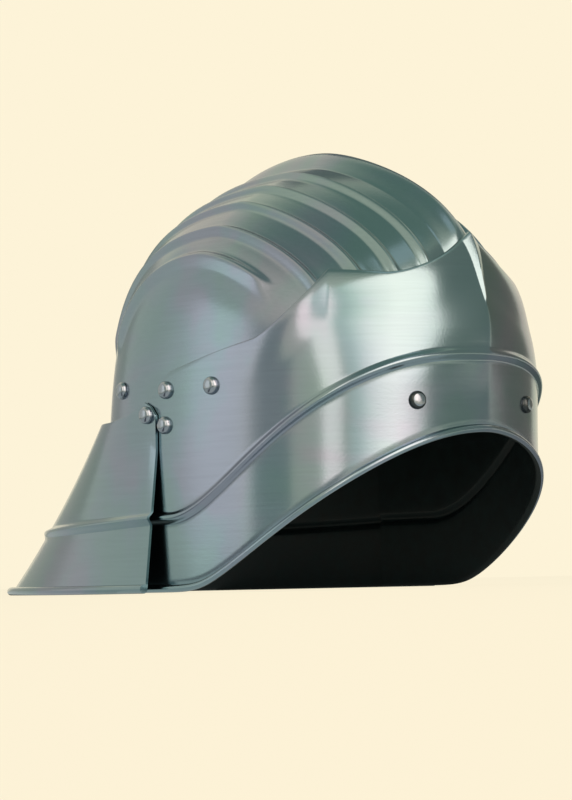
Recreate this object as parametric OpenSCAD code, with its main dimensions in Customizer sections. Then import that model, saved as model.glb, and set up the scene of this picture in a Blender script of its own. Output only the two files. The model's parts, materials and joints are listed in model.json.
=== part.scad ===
// Fluted sallet: a riveted steel helmet with a brow plate and a pivoting tail lame.
// Millimetres. The face looks along -Y, the wearer's left is +X, up is +Z.
// The helmet stands on the rolled rims of its brow plate and its tail lame.

/* [Skull] */
// Half width of the skull at its widest, outside the metal
skull_half_w = 98; // [92:0.5:106]
// Distance from the skull's centre to its front, outside the metal
skull_front = 129.5; // [122:0.5:140]
// Distance from the skull's centre to its back, outside the metal
skull_back = 103; // [96:0.5:112]
// Height of the crown above the table, without its ridge
crown_z = 236; // [214:1:250]
// Height at which the skull's wall starts to draw in
shoulder_z = 60; // [50:1:66]
// Height of the skull's lower edge
skull_edge_z = 82; // [80:0.5:84]
// Thickness of the steel sheet
sheet = 1.5; // [1:0.1:1.8]

/* [Ribs] */
// Distance of each side rib from the middle, from the first to the outermost
rib_x = [25, 41.5, 56.5, 72.3, 84];
// Width of a side rib
rib_w = 9; // [7:0.5:10]
// Height of the side ribs above the skull's surface
rib_h = 2.6; // [1.5:0.1:2.8]
// Width of the central ridge
ridge_w = 24; // [16:1:30]
// Height of the central ridge above the skull's surface
ridge_h = 5.5; // [2:0.25:6]

/* [Brow plate] */
// Height of the face opening's rim above the table, at the front
brow_rim_z = 79; // [72:0.5:79.5]
// Height of the raised bead behind the ears
bead_rear_z = 37.5; // [34:0.5:42]
// Height of the raised bead at the front
bead_front_z = 119.5; // [117:0.5:124]
// Height of the top edge's flat run above the temples
plate_run_z = 161.5; // [156:0.5:168]
// Height of the pointed apex at the front
plate_apex_z = 184; // [180:0.5:190]
// Height of the top edge above the ear
plate_ear_z = 116.5; // [115:0.5:122]
// Height that the brow plate's keel stands out above the bead
keel_h = 6.7; // [6:0.1:9]
// Extra height of the pinched crest at the apex
pinch_h = 1.8; // [1:0.1:4]
// Distance that the top edge stands off the skull, to clear the ribs
edge_lift = 2.4; // [1.8:0.1:3]

/* [Tail lame] */
// Distance from the skull's centre to the tip of the tail, inside the metal
tail_len = 253; // [235:1:275]
// Distance that the tail's lower edge flares out beyond the skull's half width
tail_flare = 10; // [9:0.5:16]
// Height of the bead on the tail
tail_bead_z = 36; // [30:0.5:42]
// Height of the tail's top edge at the back
tail_top_z = 93; // [91:0.5:96]
// Gap between the tail lame and the plate that it turns over
tail_gap = 0.5; // [0.4:0.05:1]

/* [Rims and beads] */
// Diameter of the rolled rims
roll_d = 4.8; // [4:0.1:5.4]
// Width of the raised beads
bead_w = 8; // [6:0.5:9]
// Height of the raised beads
bead_h = 2.4; // [1.5:0.1:3]

/* [Rivets] */
// Diameter of a rivet's domed head
head_d = 9.5; // [8:0.25:10]
// Height of the domed head
head_h = 3.2; // [2.4:0.1:4]
// Diameter of the shanks
shank_d = 4.5; // [3.5:0.1:4.8]
// Diameter of the roves, the washers under the hammered ends
rove_d = 9; // [8:0.25:9.5]
// Thickness of the roves
rove_t = 1; // [0.8:0.1:1.4]
// Radial clearance of the fixed rivets in their holes
rivet_fit = 0.1; // [0.05:0.05:0.2]
// Radial running clearance of the pivot rivets in the tail lame
pivot_fit = 0.05; // [0.02:0.01:0.1]

/* [Lining] */
// Thickness of the leather
leather = 2.2; // [1.5:0.1:2.6]
// Height of the lining band
band_h = 16; // [13:0.5:17]
// Drop from the skull's crown to the liner's crown
liner_drop = 24; // [18:1:34]
// How far the tongues draw in from a round arch, in percent
liner_draw = 12; // [8:0.5:18]

/* [Hidden] */
$fn = 40;

steel = [0.62, 0.68, 0.67];
rivet_steel = [0.74, 0.76, 0.75];
hide = [0.32, 0.2, 0.12];

// Seat between pieces that are riveted together
seat = 0.3;
// The skull's centre lies behind the middle of its width's axis and moves back as it rises
centre_y = -12;
centre_lean = -20;
// Exponents of the skull's plan: at the shoulder, and at the crown in front and behind
plan_low = 2.66;
plan_front = 1.35;
plan_back = 2.09;
// The hammered crown is a little flatter than the form's point
crown_soft = 1.8;

roll_r = roll_d / 2;
tail_half_w = skull_half_w + tail_flare;
liner_top_z = crown_z - liner_drop;
plate_in = seat;
plate_out = plate_in + sheet;
lame_in = plate_out + tail_gap;

// Length of the whole helmet, used to set the origin in the middle of its box
front_y = centre_y - skull_front - plate_out - keel_h - 1.9;
tip_run = tail_len - skull_back - lame_in - 1;
tip_slant = norm([tip_run, tail_top_z]);
tip_y = centre_y + tail_len + roll_r * (1 + (tail_top_z - tip_run) / tip_slant);
middle_y = (front_y + tip_y) / 2;

function clamp(v) = min(max(v, 0), 1);
function smooth(v) = let(c = clamp(v)) c * c * (3 - 2 * c);
function mix(a, b, f) = a + (b - a) * f;
function unit(v) = v / norm(v);

// Skull form: each level is a superellipse whose widths shrink towards the crown.
// out is the distance outside the skull's outer face.
function rise(z, out) = min(clamp((z - shoulder_z) / (crown_z + out - shoulder_z)), 0.9999);
function wide(z, out) = (skull_half_w + out) * pow(1 - pow(rise(z, out), 4.84), 1 / 0.97);
function fore(z, out) = (skull_front + out) * pow(1 - pow(rise(z, out), 4.77), 1 / 1.08);
function aft(z, out) = (skull_back + out) * pow(1 - pow(rise(z, out), 5.46), 1 / 2.3);
function plan_n(z, ahead) =
  ahead ? mix(plan_low, plan_front, smooth((rise(z, 0) - 0.25) / 0.65)) : mix(plan_low, plan_back, rise(z, 0));
function mid_y(z) = centre_y + centre_lean * pow(rise(z, 0), 2);
function flatten(p) = crown_soft * exp(-pow((p[1] - centre_y - centre_lean) / 16, 2) - pow(p[0] / 20, 2));

// Point of the form at an angle from the front, seen from above
function form_point(angle, z, out) =
  let(
    s = abs(sin(angle)), c = cos(angle), n = plan_n(z, c > 0),
    reach = c > 0 ? fore(z, out) : aft(z, out),
    r = pow(pow(s / wide(z, out), n) + pow(abs(c) / reach, n), -1 / n)
  )
  [r * sin(angle), mid_y(z) - r * c, z];

// Closed skin between an outer and an inner grid of points. Rows run along the piece and
// columns across it; with wrap, the last row joins the first.
module skin(outer, inner, wrap = false) {
  rows = len(outer);
  cols = len(outer[0]);
  last = wrap ? rows - 1 : rows - 2;
  all = concat([for (r = outer) for (p = r) p], [for (r = inner) for (p = r) p]);
  half = rows * cols;
  function at(i, j) = (i % rows) * cols + j;
  faces = concat(
    [for (i = [0:last]) for (j = [0:cols - 2])
      for (t = [[at(i, j), at(i, j + 1), at(i + 1, j + 1)], [at(i, j), at(i + 1, j + 1), at(i + 1, j)]]) t],
    [for (i = [0:last]) for (j = [0:cols - 2])
      for (t = [[at(i, j), at(i + 1, j + 1), at(i, j + 1)], [at(i, j), at(i + 1, j), at(i + 1, j + 1)]])
        [for (k = t) k + half]],
    [for (i = [0:last])
      for (t = [[at(i, 0), at(i + 1, 0), at(i + 1, 0) + half], [at(i, 0), at(i + 1, 0) + half, at(i, 0) + half]]) t],
    [for (i = [0:last]) let(j = cols - 1)
      for (t = [[at(i, j), at(i + 1, j) + half, at(i + 1, j)], [at(i, j), at(i, j) + half, at(i + 1, j) + half]]) t],
    wrap ? [] : [for (j = [0:cols - 2])
      for (t = [[at(0, j), at(0, j) + half, at(0, j + 1) + half], [at(0, j), at(0, j + 1) + half, at(0, j + 1)]]) t],
    wrap ? [] : [for (j = [0:cols - 2]) let(i = rows - 1)
      for (t = [[at(i, j), at(i, j + 1) + half, at(i, j) + half], [at(i, j), at(i, j + 1), at(i, j + 1) + half]]) t]
  );
  polyhedron(points = all, faces = [for (t = faces) [t[0], t[2], t[1]]], convexity = 8);
}

// Brow plate's edges, by the angle from the front
run_a = 24;
corner_a = 38.5;
sweep_a = 58;
ear_a = 90;
meet_a = 101;
plate_end_a = 112;
rim_flat = 3;
corner_z = plate_run_z + 2.5;
temple_z = plate_ear_z + 13;
meet_z = tail_top_z + 8.5;

bead_soft = 0.6;
function rim_z(a) = abs(a) < 90 ? max(0, (brow_rim_z + rim_flat) * pow(cos(a), 2) - rim_flat) : 0;
function bead_z(a) = abs(a) < 90
  ? mix(bead_rear_z, bead_front_z, 1 - pow(abs(sin(a)), 2.8)) : bead_rear_z;
function plate_top(a) =
  a < run_a ? plate_run_z + (plate_apex_z - plate_run_z) * pow((run_a - a) / run_a, 1.8)
  : a < corner_a ? mix(plate_run_z, corner_z, (a - run_a) / (corner_a - run_a))
  : a < sweep_a ? temple_z + (corner_z - temple_z) * pow((sweep_a - a) / (sweep_a - corner_a), 1.3)
  : a < ear_a ? mix(temple_z, plate_ear_z, (a - sweep_a) / (ear_a - sweep_a))
  : a < meet_a ? mix(plate_ear_z, meet_z, (a - ear_a) / (meet_a - ear_a))
  : mix(meet_z, tail_top_z - 3, (a - meet_a) / (plate_end_a - meet_a));

// Ribs: raised height at a place on the skull
function edge_height(p) = p[2] - plate_top(abs(atan2(p[0], centre_y - p[1])));
rib_foot_z = tail_top_z + 35;
rib_end_z = plate_run_z - 8;
function rib_fade(p, k) = p[1] < mid_y(p[2])
  ? (k < 0 ? smooth(edge_height(p) / 30 + 1)
    : clamp((k == len(rib_x) - 1 ? min(edge_height(p), p[2] - rib_end_z - 7) : edge_height(p)) / 8 + 0.75))
  : smooth((p[2] - rib_foot_z) / 14);
function rib_shape(d, w) = d > w / 2 ? 0 : smooth((w / 2 - d) / (w / 3));
function ridge_shape(d) = d > ridge_w / 2 ? 0 : pow(cos(180 * d / ridge_w), 1.2);
function raised(p) = max(
  ridge_h * ridge_shape(abs(p[0])) * rib_fade(p, -1),
  rib_h * max([for (k = [0:len(rib_x) - 1]) rib_shape(abs(abs(p[0]) - rib_x[k]), rib_w) * rib_fade(p, k)])
);

// Skull grid: each row is the arc at one distance from the middle, from front edge to back edge
arc_steps = 32;
side_rows = 6;
rib_lines = concat(
  [0, ridge_w / 6, ridge_w / 3, ridge_w / 2],
  [for (x = rib_x) for (k = [-3, -1, 1, 3]) x + k * rib_w / 6]
);
rib_last = rib_lines[len(rib_lines) - 1];
function crest_z(x, out) =
  shoulder_z + (crown_z + out - shoulder_z)
  * pow(1 - pow(min(abs(x) / (skull_half_w + out), 1), 0.97), 1 / 4.84);
function side_x(step, out) =
  wide(mix(skull_edge_z, crest_z(rib_last, out), 1 - step / side_rows), out);
function arc_point(x, step, out) =
  let(
    turn = 180 * step / arc_steps,
    top = max(crest_z(x, out), skull_edge_z),
    z = skull_edge_z + (top - skull_edge_z) * sin(turn),
    n = plan_n(z, step * 2 < arc_steps),
    ratio = min(abs(x) / wide(z, out), 1),
    reach = step * 2 < arc_steps ? -fore(z, out) : aft(z, out)
  )
  [x, mid_y(z) + (step * 2 == arc_steps ? 0 : reach * pow(1 - pow(ratio, n), 1 / n)), z];
function skull_point(x, step, out) =
  let(
    p = arc_point(x, step, out),
    away = unit(p - [0.2 * p[0], centre_y, skull_edge_z + 10])
  )
  step == 0 || step == arc_steps ? p : p + away * raised(p) - [0, 0, flatten(p)];
function skull_rows(out) =
  let(
    near = [for (x = rib_lines) x],
    far = [for (k = [1:side_rows - 1]) side_x(k, out)],
    plus = concat(near, far),
    xs = concat([for (k = [len(plus) - 1:-1:1]) -plus[k]], plus)
  )
  [for (x = xs) [for (s = [0:arc_steps]) skull_point(x, s, out)]];

// Skull shell: two domes joined at the lower edge, each closed at its side poles
module skull_shell() {
  outer = skull_rows(0);
  inner = skull_rows(-sheet);
  rows = len(outer);
  cols = arc_steps + 1;
  half = rows * cols + 2;
  pole = function(out, side) [side * wide(skull_edge_z, out), mid_y(skull_edge_z), skull_edge_z];
  points = concat(
    [for (r = outer) for (p = r) p], [pole(0, -1), pole(0, 1)],
    [for (r = inner) for (p = r) p], [pole(-sheet, -1), pole(-sheet, 1)]
  );
  function at(i, j) = i < 0 ? rows * cols : i == rows ? rows * cols + 1 : i * cols + j;
  dome = [for (i = [-1:rows - 1]) for (j = [0:cols - 2])
    for (t = i < 0 ? [[at(i, j), at(i + 1, j), at(i + 1, j + 1)]]
      : i == rows - 1 ? [[at(i, j), at(i + 1, j), at(i, j + 1)]]
      : [[at(i, j), at(i + 1, j), at(i + 1, j + 1)], [at(i, j), at(i + 1, j + 1), at(i, j + 1)]]) t];
  front = [for (i = [-1:rows - 1])
    for (t = [[at(i, 0), at(i + 1, 0) + half, at(i + 1, 0)], [at(i, 0), at(i, 0) + half, at(i + 1, 0) + half]]) t];
  back = [for (i = [-1:rows - 1]) let(j = cols - 1)
    for (t = [[at(i, j), at(i + 1, j), at(i + 1, j) + half], [at(i, j), at(i + 1, j) + half, at(i, j) + half]]) t];
  polyhedron(
    points = points,
    faces = [for (t = concat(dome, [for (t = dome) [for (k = [2, 1, 0]) t[k] + half]], front, back))
      [t[0], t[2], t[1]]],
    convexity = 8
  );
}

// Rolled rim: pairs of outer and inner points of its section, as distances out and up
rim_section = [
  for (k = [0:5]) let(turn = 112 - k * 40.4)
    [[roll_r * (1 + cos(turn)), roll_r * (1 + sin(turn))],
     k < 3 ? [0, roll_r * (1.93 - 0.31 * k)]
     : k < 5 ? [roll_r * (1 + cos(180 + (k - 3) * 35)), roll_r * (1 + sin(180 + (k - 3) * 35))]
     : [roll_r * 0.55, 0]]
];

// Section of a plate as [out, height, inner out, inner height], from the top edge to the rim
bead_steps = [1, 0.5, 0, -0.5, -1];
function bead_rise(k) = bead_h * (0.5 + 0.5 * cos(180 * k));
function wall_section(top, bead, rim, above, below, soft = 1) =
  let(low = rim + roll_r * 1.93)
  concat(
    [for (k = [0:above - 1]) let(h = mix(top, bead + bead_w / 2, k / above)) [sheet, h, 0, h]],
    [for (k = bead_steps) let(h = bead + k * bead_w / 2, o = soft * bead_rise(k)) [sheet + o, h, o, h]],
    [for (k = [1:below]) let(h = mix(bead - bead_w / 2, low, k / (below + 1))) [sheet, h, 0, h]],
    [for (s = rim_section) [s[0][0], rim + s[0][1], s[1][0], rim + s[1][1]]]
  );

// Brow plate
function subdivide(breaks, counts) = concat(
  [for (k = [0:len(counts) - 1]) for (s = [0:counts[k] - 1]) mix(breaks[k], breaks[k + 1], s / counts[k])],
  [breaks[len(breaks) - 1]]
);
plate_half = subdivide([0, 2.2, 6, 12.5, run_a, corner_a, sweep_a, ear_a, meet_a, plate_end_a], [1, 1, 1, 3, 4, 7, 6, 2, 2]);
plate_angles = concat([for (k = [len(plate_half) - 1:-1:1]) -plate_half[k]], plate_half);
function keel(x, z, top) =
  let(
    pinch = smooth((z - bead_front_z) / (plate_apex_z - bead_front_z)),
    low = mix(0.6, 1, smooth((z - bead_front_z + 24) / 45))
  )
  keel_h * low * clamp(1 - abs(x) / 28) * (1 - 0.4 * pinch) + pinch_h * pinch * clamp(1 - abs(x) / 6);
function plate_point(a, out, z, top) =
  let(
    lift = edge_lift * smooth((sweep_a + 4 - abs(a)) / 20) * smooth((z - top + 16) / 16),
    p = form_point(a, z, plate_in + out + lift)
  )
  [p[0], p[1] - (cos(a) > 0 ? keel(p[0], z, top) : 0), z];
module brow_plate_shell() {
  sections = [for (a = plate_angles)
    wall_section(plate_top(abs(a)), bead_z(a), rim_z(a), 6, 2, mix(bead_soft, 1, clamp(abs(a) / 12)))];
  last = len(plate_angles) - 1;
  outer = [for (i = [0:last]) [for (s = sections[i])
    plate_point(plate_angles[i], s[0], s[1], plate_top(abs(plate_angles[i])))]];
  inner = [for (i = [0:last]) [for (s = sections[i])
    plate_point(plate_angles[i], s[2], s[3], plate_top(abs(plate_angles[i])))]];
  skin(outer, inner);
}

// Tail lame: straight lines from its top edge, which hugs the skull, to its pointed lower edge
lame_front_a = 94.5;
lame_steps = 16;
lame_top_line = [
  [94.5, tail_top_z + 1], [97, tail_top_z + 6], [100, tail_top_z + 8.5], [104, tail_top_z + 5.5],
  [110, tail_top_z + 2], [120, tail_top_z], [180, tail_top_z]
];
lame_half = concat([lame_front_a, 97, 100, 104], [for (k = [0:lame_steps]) 110 + 70 * k / lame_steps]);
lame_angles = concat(lame_half, [for (k = [len(lame_half) - 2:-1:0]) 360 - lame_half[k]]);
function lame_head(a) =
  let(b = a > 180 ? 360 - a : a, p = form_point(b, lookup(b, lame_top_line), lame_in + smooth((b - 100) / 30)))
  [a > 180 ? -p[0] : p[0], p[1], p[2]];
function lame_foot(a) =
  [sign(sin(a)) * tail_half_w * pow(abs(sin(a)), 1.28), centre_y + tail_len * pow(abs(cos(a)), 1.28), 0];
// Point of the bare surface, from the foot (0) to the head (1); the cheeks stay upright near the top
function lame_base(a, up) =
  let(
    head = lame_head(a),
    foot = lame_foot(a),
    side = 1 - smooth(abs(cos(a)) / 0.5),
    spread = mix(1 - up, max(0.8 - up, 0) / 0.8, side)
  )
  [mix(head[0], foot[0], spread), mix(head[1], foot[1], spread), head[2] * up];
function lame_normal(a, up) =
  let(u = clamp(up))
  unit(cross(lame_base(a + 0.5, u) - lame_base(a - 0.5, u), lame_base(a, u + 0.02) - lame_base(a, u - 0.02)));
function lame_frame(a) =
  let(
    edge = unit(lame_foot(a + 0.5) - lame_foot(a - 0.5)),
    face = lame_normal(a, 0.02),
    rule = 10 * (lame_base(a, 0.1) - lame_foot(a))
  )
  [face, norm(cross(edge, rule))];
function lame_point(a, out, h, frame) =
  let(
    up = h / frame[1],
    lift = roll_r * max(1 - frame[0][2] - norm([frame[0][0], frame[0][1]]), -0.55 * frame[0][2])
  )
  lame_base(a, up) + out * lame_normal(a, up) + [0, 0, lift * (1 - clamp(up))];
module tail_lame_shell() {
  last = len(lame_angles) - 1;
  frames = [for (a = lame_angles) lame_frame(a)];
  sections = [for (i = [0:last])
    wall_section(frames[i][1], tail_bead_z * frames[i][1] / lame_head(lame_angles[i])[2], 0, 3, 1)];
  outer = [for (i = [0:last]) [for (s = sections[i]) lame_point(lame_angles[i], s[0], s[1], frames[i])]];
  inner = [for (i = [0:last]) [for (s = sections[i]) lame_point(lame_angles[i], s[2], s[3], frames[i])]];
  skin(outer, inner);
}

// Rivet places, as the angle from the front and the height, for the wearer's left side
front_place = [[18, skull_edge_z + 13]];
side_places = [[71, skull_edge_z + 25], [91, skull_edge_z + 25]];
strap_place = [[91.2, skull_edge_z + 6.5]];
rear_place = [[117, skull_edge_z + 28]];
// Pivots stand square to the helmet's side, on one line from side to side
pivot_y = 2;
pivot_z = tail_top_z + 1.5;
function band_mid(a) = skull_edge_z + 14 + 12 * pow(sin(min(abs(a), 90)), 2);

// Puts a child at a rivet place, square to the skull, its outward axis along +Z
module at_place(place, out) {
  p = form_point(place[0], place[1], 0);
  q = form_point(place[0] + 0.5, place[1], 0);
  turn = atan2(p[0] - q[0], q[1] - p[1]);
  for (side = [1, -1])
    translate([side * p[0], p[1], p[2]])
      rotate([0, 90, side > 0 ? turn : 180 - turn])
        translate([0, 0, out]) children();
}
module at_pivot(out) {
  for (side = [1, -1])
    translate([side * (skull_half_w + out), pivot_y, pivot_z])
      rotate([0, side * 90, 0]) children();
}
module hole(r, depth) cylinder(r = r, h = depth, center = true);

// Rivet: domed head above z = 0, shank below it, small hammered end below the rove
module rivet(grip) {
  end_r = shank_d / 2 + 0.9;
  rotate_extrude()
    polygon(concat(
      [[0, -grip - 1.4]],
      [for (k = [0:3]) [end_r * cos(90 - k * 30), -grip - 1.4 * sin(90 - k * 30)]],
      [[shank_d / 2, -grip], [shank_d / 2, 0]],
      [for (k = [0:5]) [head_d / 2 * cos(k * 18), head_h * sin(k * 18)]]
    ));
}
module rove() difference() {
  cylinder(d = rove_d, h = rove_t);
  hole(shank_d / 2 + rivet_fit, 4 * rove_t);
}

// Distances of each surface from the skull's outer face, inwards negative
head_seat = 0.3;
skull_inner = -sheet;
band_outer = skull_inner - seat;
band_inner = band_outer - leather;
rove_seat = 0.9;
end_gap = 0.1;
pivot_inner = skull_inner - 1.1;

module riveted(place, top, bottom) {
  at_place(place, top + head_seat) rivet(top + head_seat - bottom + rove_seat + rove_t + end_gap);
}
module roved(place, bottom) at_place(place, bottom - rove_seat - rove_t) rove();

module placed() translate([0, -middle_y, 0]) children();

module lining_holes(extra) for (p = concat(front_place, side_places, rear_place))
  at_place(p, 0) hole(shank_d / 2 + rivet_fit, extra);

module skull() color(steel) placed() difference() {
  skull_shell();
  lining_holes(14);
  at_place(strap_place[0], 0) hole(shank_d / 2 + rivet_fit, 14);
  at_pivot(0) hole(shank_d / 2 + rivet_fit, 14);
}
module brow_plate() color(steel) placed() difference() {
  brow_plate_shell();
  for (p = concat(front_place, side_places, strap_place)) at_place(p, plate_out) hole(shank_d / 2 + rivet_fit, 14);
  at_pivot(plate_out) hole(shank_d / 2 + rivet_fit, 14);
}
module tail_lame() color(steel) placed() difference() {
  tail_lame_shell();
  at_pivot(lame_in) hole(shank_d / 2 + pivot_fit, 14);
}

module pivot_rivets() color(rivet_steel) placed()
  at_pivot(lame_in + sheet + seat) rivet(lame_in + sheet + seat - pivot_inner + rove_t + end_gap);
module pivot_roves() color(rivet_steel) placed() at_pivot(pivot_inner - rove_t) rove();
module front_rivets() color(rivet_steel) placed() riveted(front_place[0], plate_out, band_inner);
module front_roves() color(rivet_steel) placed() roved(front_place[0], band_inner);
module side_rivets() color(rivet_steel) placed() for (p = side_places) riveted(p, plate_out, band_inner);
module side_roves() color(rivet_steel) placed() for (p = side_places) roved(p, band_inner);
module strap_rivets() color(rivet_steel) placed() riveted(strap_place[0], plate_out, skull_inner);
module strap_roves() color(rivet_steel) placed() roved(strap_place[0], skull_inner);
module rear_rivets() color(rivet_steel) placed() riveted(rear_place[0], 0, band_inner);
module rear_roves() color(rivet_steel) placed() roved(rear_place[0], band_inner);

// Lining band: a leather strip inside the skull, all the way round
band_steps = 60;
module lining_band() color(hide) placed() difference() {
  angles = [for (k = [0:band_steps - 1]) 360 * k / band_steps];
  heights = [1, 0, -1];
  outer = [for (a = angles) [for (h = heights)
    form_point(a, band_mid(a > 180 ? 360 - a : a) + h * band_h / 2, band_outer)]];
  inner = [for (a = angles) [for (h = heights)
    form_point(a, band_mid(a > 180 ? 360 - a : a) + h * band_h / 2, band_inner)]];
  skin(outer, inner, wrap = true);
  lining_holes(24);
}

// Liner tongue: a strip of the inner dome from the band to the crown
tongues = 8;
tongue_half_a = 17;
tongue_end = 80;
tongue_foot_z = band_mid(90) + band_h / 2 - 1;
liner_crown_z = mix(tongue_foot_z, liner_top_z, sin(tongue_end)) + seat;
crown_disc_r = 26;
function tongue_point(a, k, out) =
  let(
    foot_z = band_mid(a > 180 ? 360 - a : a) + band_h / 2 - 1,
    base = form_point(a, foot_z, band_inner - seat),
    turn = tongue_end * k,
    pull = cos(turn) * (1 - liner_draw / 100 * sin(turn)),
    x = base[0] * pull,
    y = mix(mid_y(liner_top_z - 6), base[1], pull),
    z = foot_z + (liner_top_z - foot_z) * sin(turn),
    level = [base[0], base[1] - centre_y, 0]
  )
  [x, y, z] + out * (unit(level) * cos(turn) + [0, 0, sin(turn)]);
module liner_tongues() color(hide) placed()
  for (t = [0:tongues - 1]) {
    angles = [for (k = [-1, -0.33, 0.33, 1]) (t + 0.5) * 360 / tongues + k * tongue_half_a];
    outer = [for (a = angles) [for (k = [0:8]) tongue_point(a, 1 - k / 8, 0)]];
    inner = [for (a = angles) [for (k = [0:8]) tongue_point(a, 1 - k / 8, -leather)]];
    skin(outer, inner);
  }
module liner_crown() color(hide) placed()
  translate([0, mid_y(liner_top_z - 6), liner_crown_z]) cylinder(r = crown_disc_r, h = leather);

skull();
brow_plate();
tail_lame();
pivot_rivets();
pivot_roves();
front_rivets();
front_roves();
side_rivets();
side_roves();
strap_rivets();
strap_roves();
rear_rivets();
rear_roves();
lining_band();
liner_tongues();
liner_crown();
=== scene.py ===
# %% [markdown]
# # A fluted sallet in polished steel
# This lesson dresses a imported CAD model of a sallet, a helmet of the late fifteenth century. The CAD
# says where every piece is and how big it is. Here each piece gets a smooth surface and a finish.
# The CAD is loaded first as a fixed frame, and nothing in it is moved.

# %% Load the frame
import json
import math

import bmesh
import bpy
import numpy as np
from mathutils import Matrix, Quaternion, Vector
from mathutils.geometry import tessellate_polygon


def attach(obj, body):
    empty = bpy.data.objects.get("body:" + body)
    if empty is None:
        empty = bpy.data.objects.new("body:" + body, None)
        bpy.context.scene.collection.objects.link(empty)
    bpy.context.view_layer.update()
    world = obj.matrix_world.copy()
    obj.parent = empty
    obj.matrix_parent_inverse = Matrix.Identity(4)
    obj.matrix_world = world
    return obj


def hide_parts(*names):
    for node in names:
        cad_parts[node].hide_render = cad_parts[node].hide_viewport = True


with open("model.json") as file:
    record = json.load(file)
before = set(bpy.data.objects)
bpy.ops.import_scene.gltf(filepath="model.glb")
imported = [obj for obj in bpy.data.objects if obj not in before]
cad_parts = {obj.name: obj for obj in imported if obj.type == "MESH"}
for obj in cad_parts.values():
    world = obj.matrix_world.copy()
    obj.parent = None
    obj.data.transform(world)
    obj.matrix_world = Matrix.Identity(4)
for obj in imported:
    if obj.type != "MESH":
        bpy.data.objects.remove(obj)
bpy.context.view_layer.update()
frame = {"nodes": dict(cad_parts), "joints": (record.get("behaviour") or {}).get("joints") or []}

# %% [markdown]
# ## From the maker's millimetres to the frame's metres
# An armourer would measure from the point over the middle of the head, in millimetres. The frame has
# its origin in the middle of the whole helmet's box, in metres. The hinge's place is known in both, so
# it gives the shift between them.

# %% Units and origin
PIVOT_Y = 2.0
MIDDLE_Y = PIVOT_Y - 1000 * frame["joints"][0]["pos_m"][1]


def to_frame(points):
    """Helmet millimetres to frame metres: subtract the middle in y, then divide by a thousand."""
    return (np.asarray(points, float) - [0, MIDDLE_Y, 0]) / 1000


print("the helmet's middle lies", round(MIDDLE_Y, 2), "mm behind its head's centre")

# %% [markdown]
# ## The camera
# A product photographer stood well back with a long lens, almost at table height, at the front right
# quarter of the helmet. A long lens keeps parallel lines nearly parallel. The camera could be aimed
# with a Track To constraint, but a matrix built from three angles keeps its slight roll exact.

# %% Camera
# Place: degrees from the front, millimetres from the head's centre and millimetres above the table
CAMERA_TURN, CAMERA_AWAY, CAMERA_Z = 43.0, 1446.0, 5.0
# Aim in degrees, and the lens by its focal length in pixels of a picture whose long side has 800
AIM_OFFSET, AIM_UP, AIM_ROLL = -0.07, 3.98, 1.36
FOCAL_PIXELS, LONG_SIDE_PIXELS, SENSOR = 2600.0, 800.0, 36.0


def link(made):
    """Puts an object into the scene and hands it back."""
    bpy.context.scene.collection.objects.link(made)
    return made


def camera_matrix():
    """World matrix of the camera: right, up and backward axes as columns, then its place."""
    turn = math.radians(CAMERA_TURN)
    place = Vector(to_frame([-math.sin(turn) * CAMERA_AWAY, -math.cos(turn) * CAMERA_AWAY, CAMERA_Z]))
    aim, up, roll = (math.radians(v) for v in (CAMERA_TURN + AIM_OFFSET, AIM_UP, AIM_ROLL))
    forward = Vector((math.sin(aim) * math.cos(up), math.cos(aim) * math.cos(up), math.sin(up)))
    level = Vector((math.cos(aim), -math.sin(aim), 0))
    upright = level.cross(forward)
    right = level * math.cos(roll) - upright * math.sin(roll)
    top = level * math.sin(roll) + upright * math.cos(roll)
    columns = [(*right, 0), (*top, 0), (*(-forward), 0), (*place, 1)]
    return Matrix(columns).transposed()


camera_data = bpy.data.cameras.new("camera")
camera_data.sensor_width = SENSOR
camera_data.lens = FOCAL_PIXELS / LONG_SIDE_PIXELS * SENSOR
camera_data.clip_start = 0.01
camera = link(bpy.data.objects.new("camera", camera_data))
camera.matrix_world = camera_matrix()
bpy.context.scene.camera = camera
print("lens", round(camera_data.lens, 1), "mm")

# %% [markdown]
# ## The form of the skull
# The bowl is raised from one sheet. Each level of it, seen from above, is a superellipse: a rounded
# rectangle whose widths shrink and whose corners soften towards the crown. One function gives the
# point of that form at any angle and height, so that every plate that lies on the bowl can follow it.

# %% Form
# The bowl's reach to the sides, the front and the back, and the heights of its levels
HALF_W, FRONT, BACK = 98.0, 129.5, 103.0
CROWN_Z, SHOULDER_Z, EDGE_Z = 236.0, 60.0, 82.0
SHEET = 1.5
CENTRE_Y, CENTRE_LEAN = -12.0, -20.0
# Exponents: how each reach shrinks towards the crown, and how round a level is in plan
WIDE_POWERS, FRONT_POWERS, BACK_POWERS = (4.84, 0.97), (4.77, 1.08), (5.46, 2.3)
PLAN_LOW, PLAN_FRONT, PLAN_BACK = 2.66, 1.35, 2.09
# The plan of the front changes from this share of the rise on, and over this share of it
PLAN_START, PLAN_SPAN = 0.25, 0.65
# The hammered crown is flattened: how much, over which length and over which width
CROWN_SOFT, CROWN_ROUND, CROWN_WIDTH = 0.23, 10.0, 20.0


def mix(a, b, share):
    """Straight blend from a to b."""
    return a + (b - a) * share


def smooth(v):
    """Smooth step: 3c^2 - 2c^3 of v held between 0 and 1."""
    c = np.clip(v, 0, 1)
    return c * c * (3 - 2 * c)


def rise(z, out=0.0):
    """Share of the way from the shoulder to the crown, 0 to just under 1."""
    return np.clip((z - SHOULDER_Z) / (CROWN_Z + out - SHOULDER_Z), 0, 0.9999)


def shrink(z, out, powers):
    """Share of a reach that is left at height z: (1 - rise^a)^(1/b), for the powers a and b."""
    a, b = powers
    return (1 - rise(z, out) ** a) ** (1 / b)


def wide(z, out):
    """Half width at height z, out millimetres outside the bowl."""
    return (HALF_W + out) * shrink(z, out, WIDE_POWERS)


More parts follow.
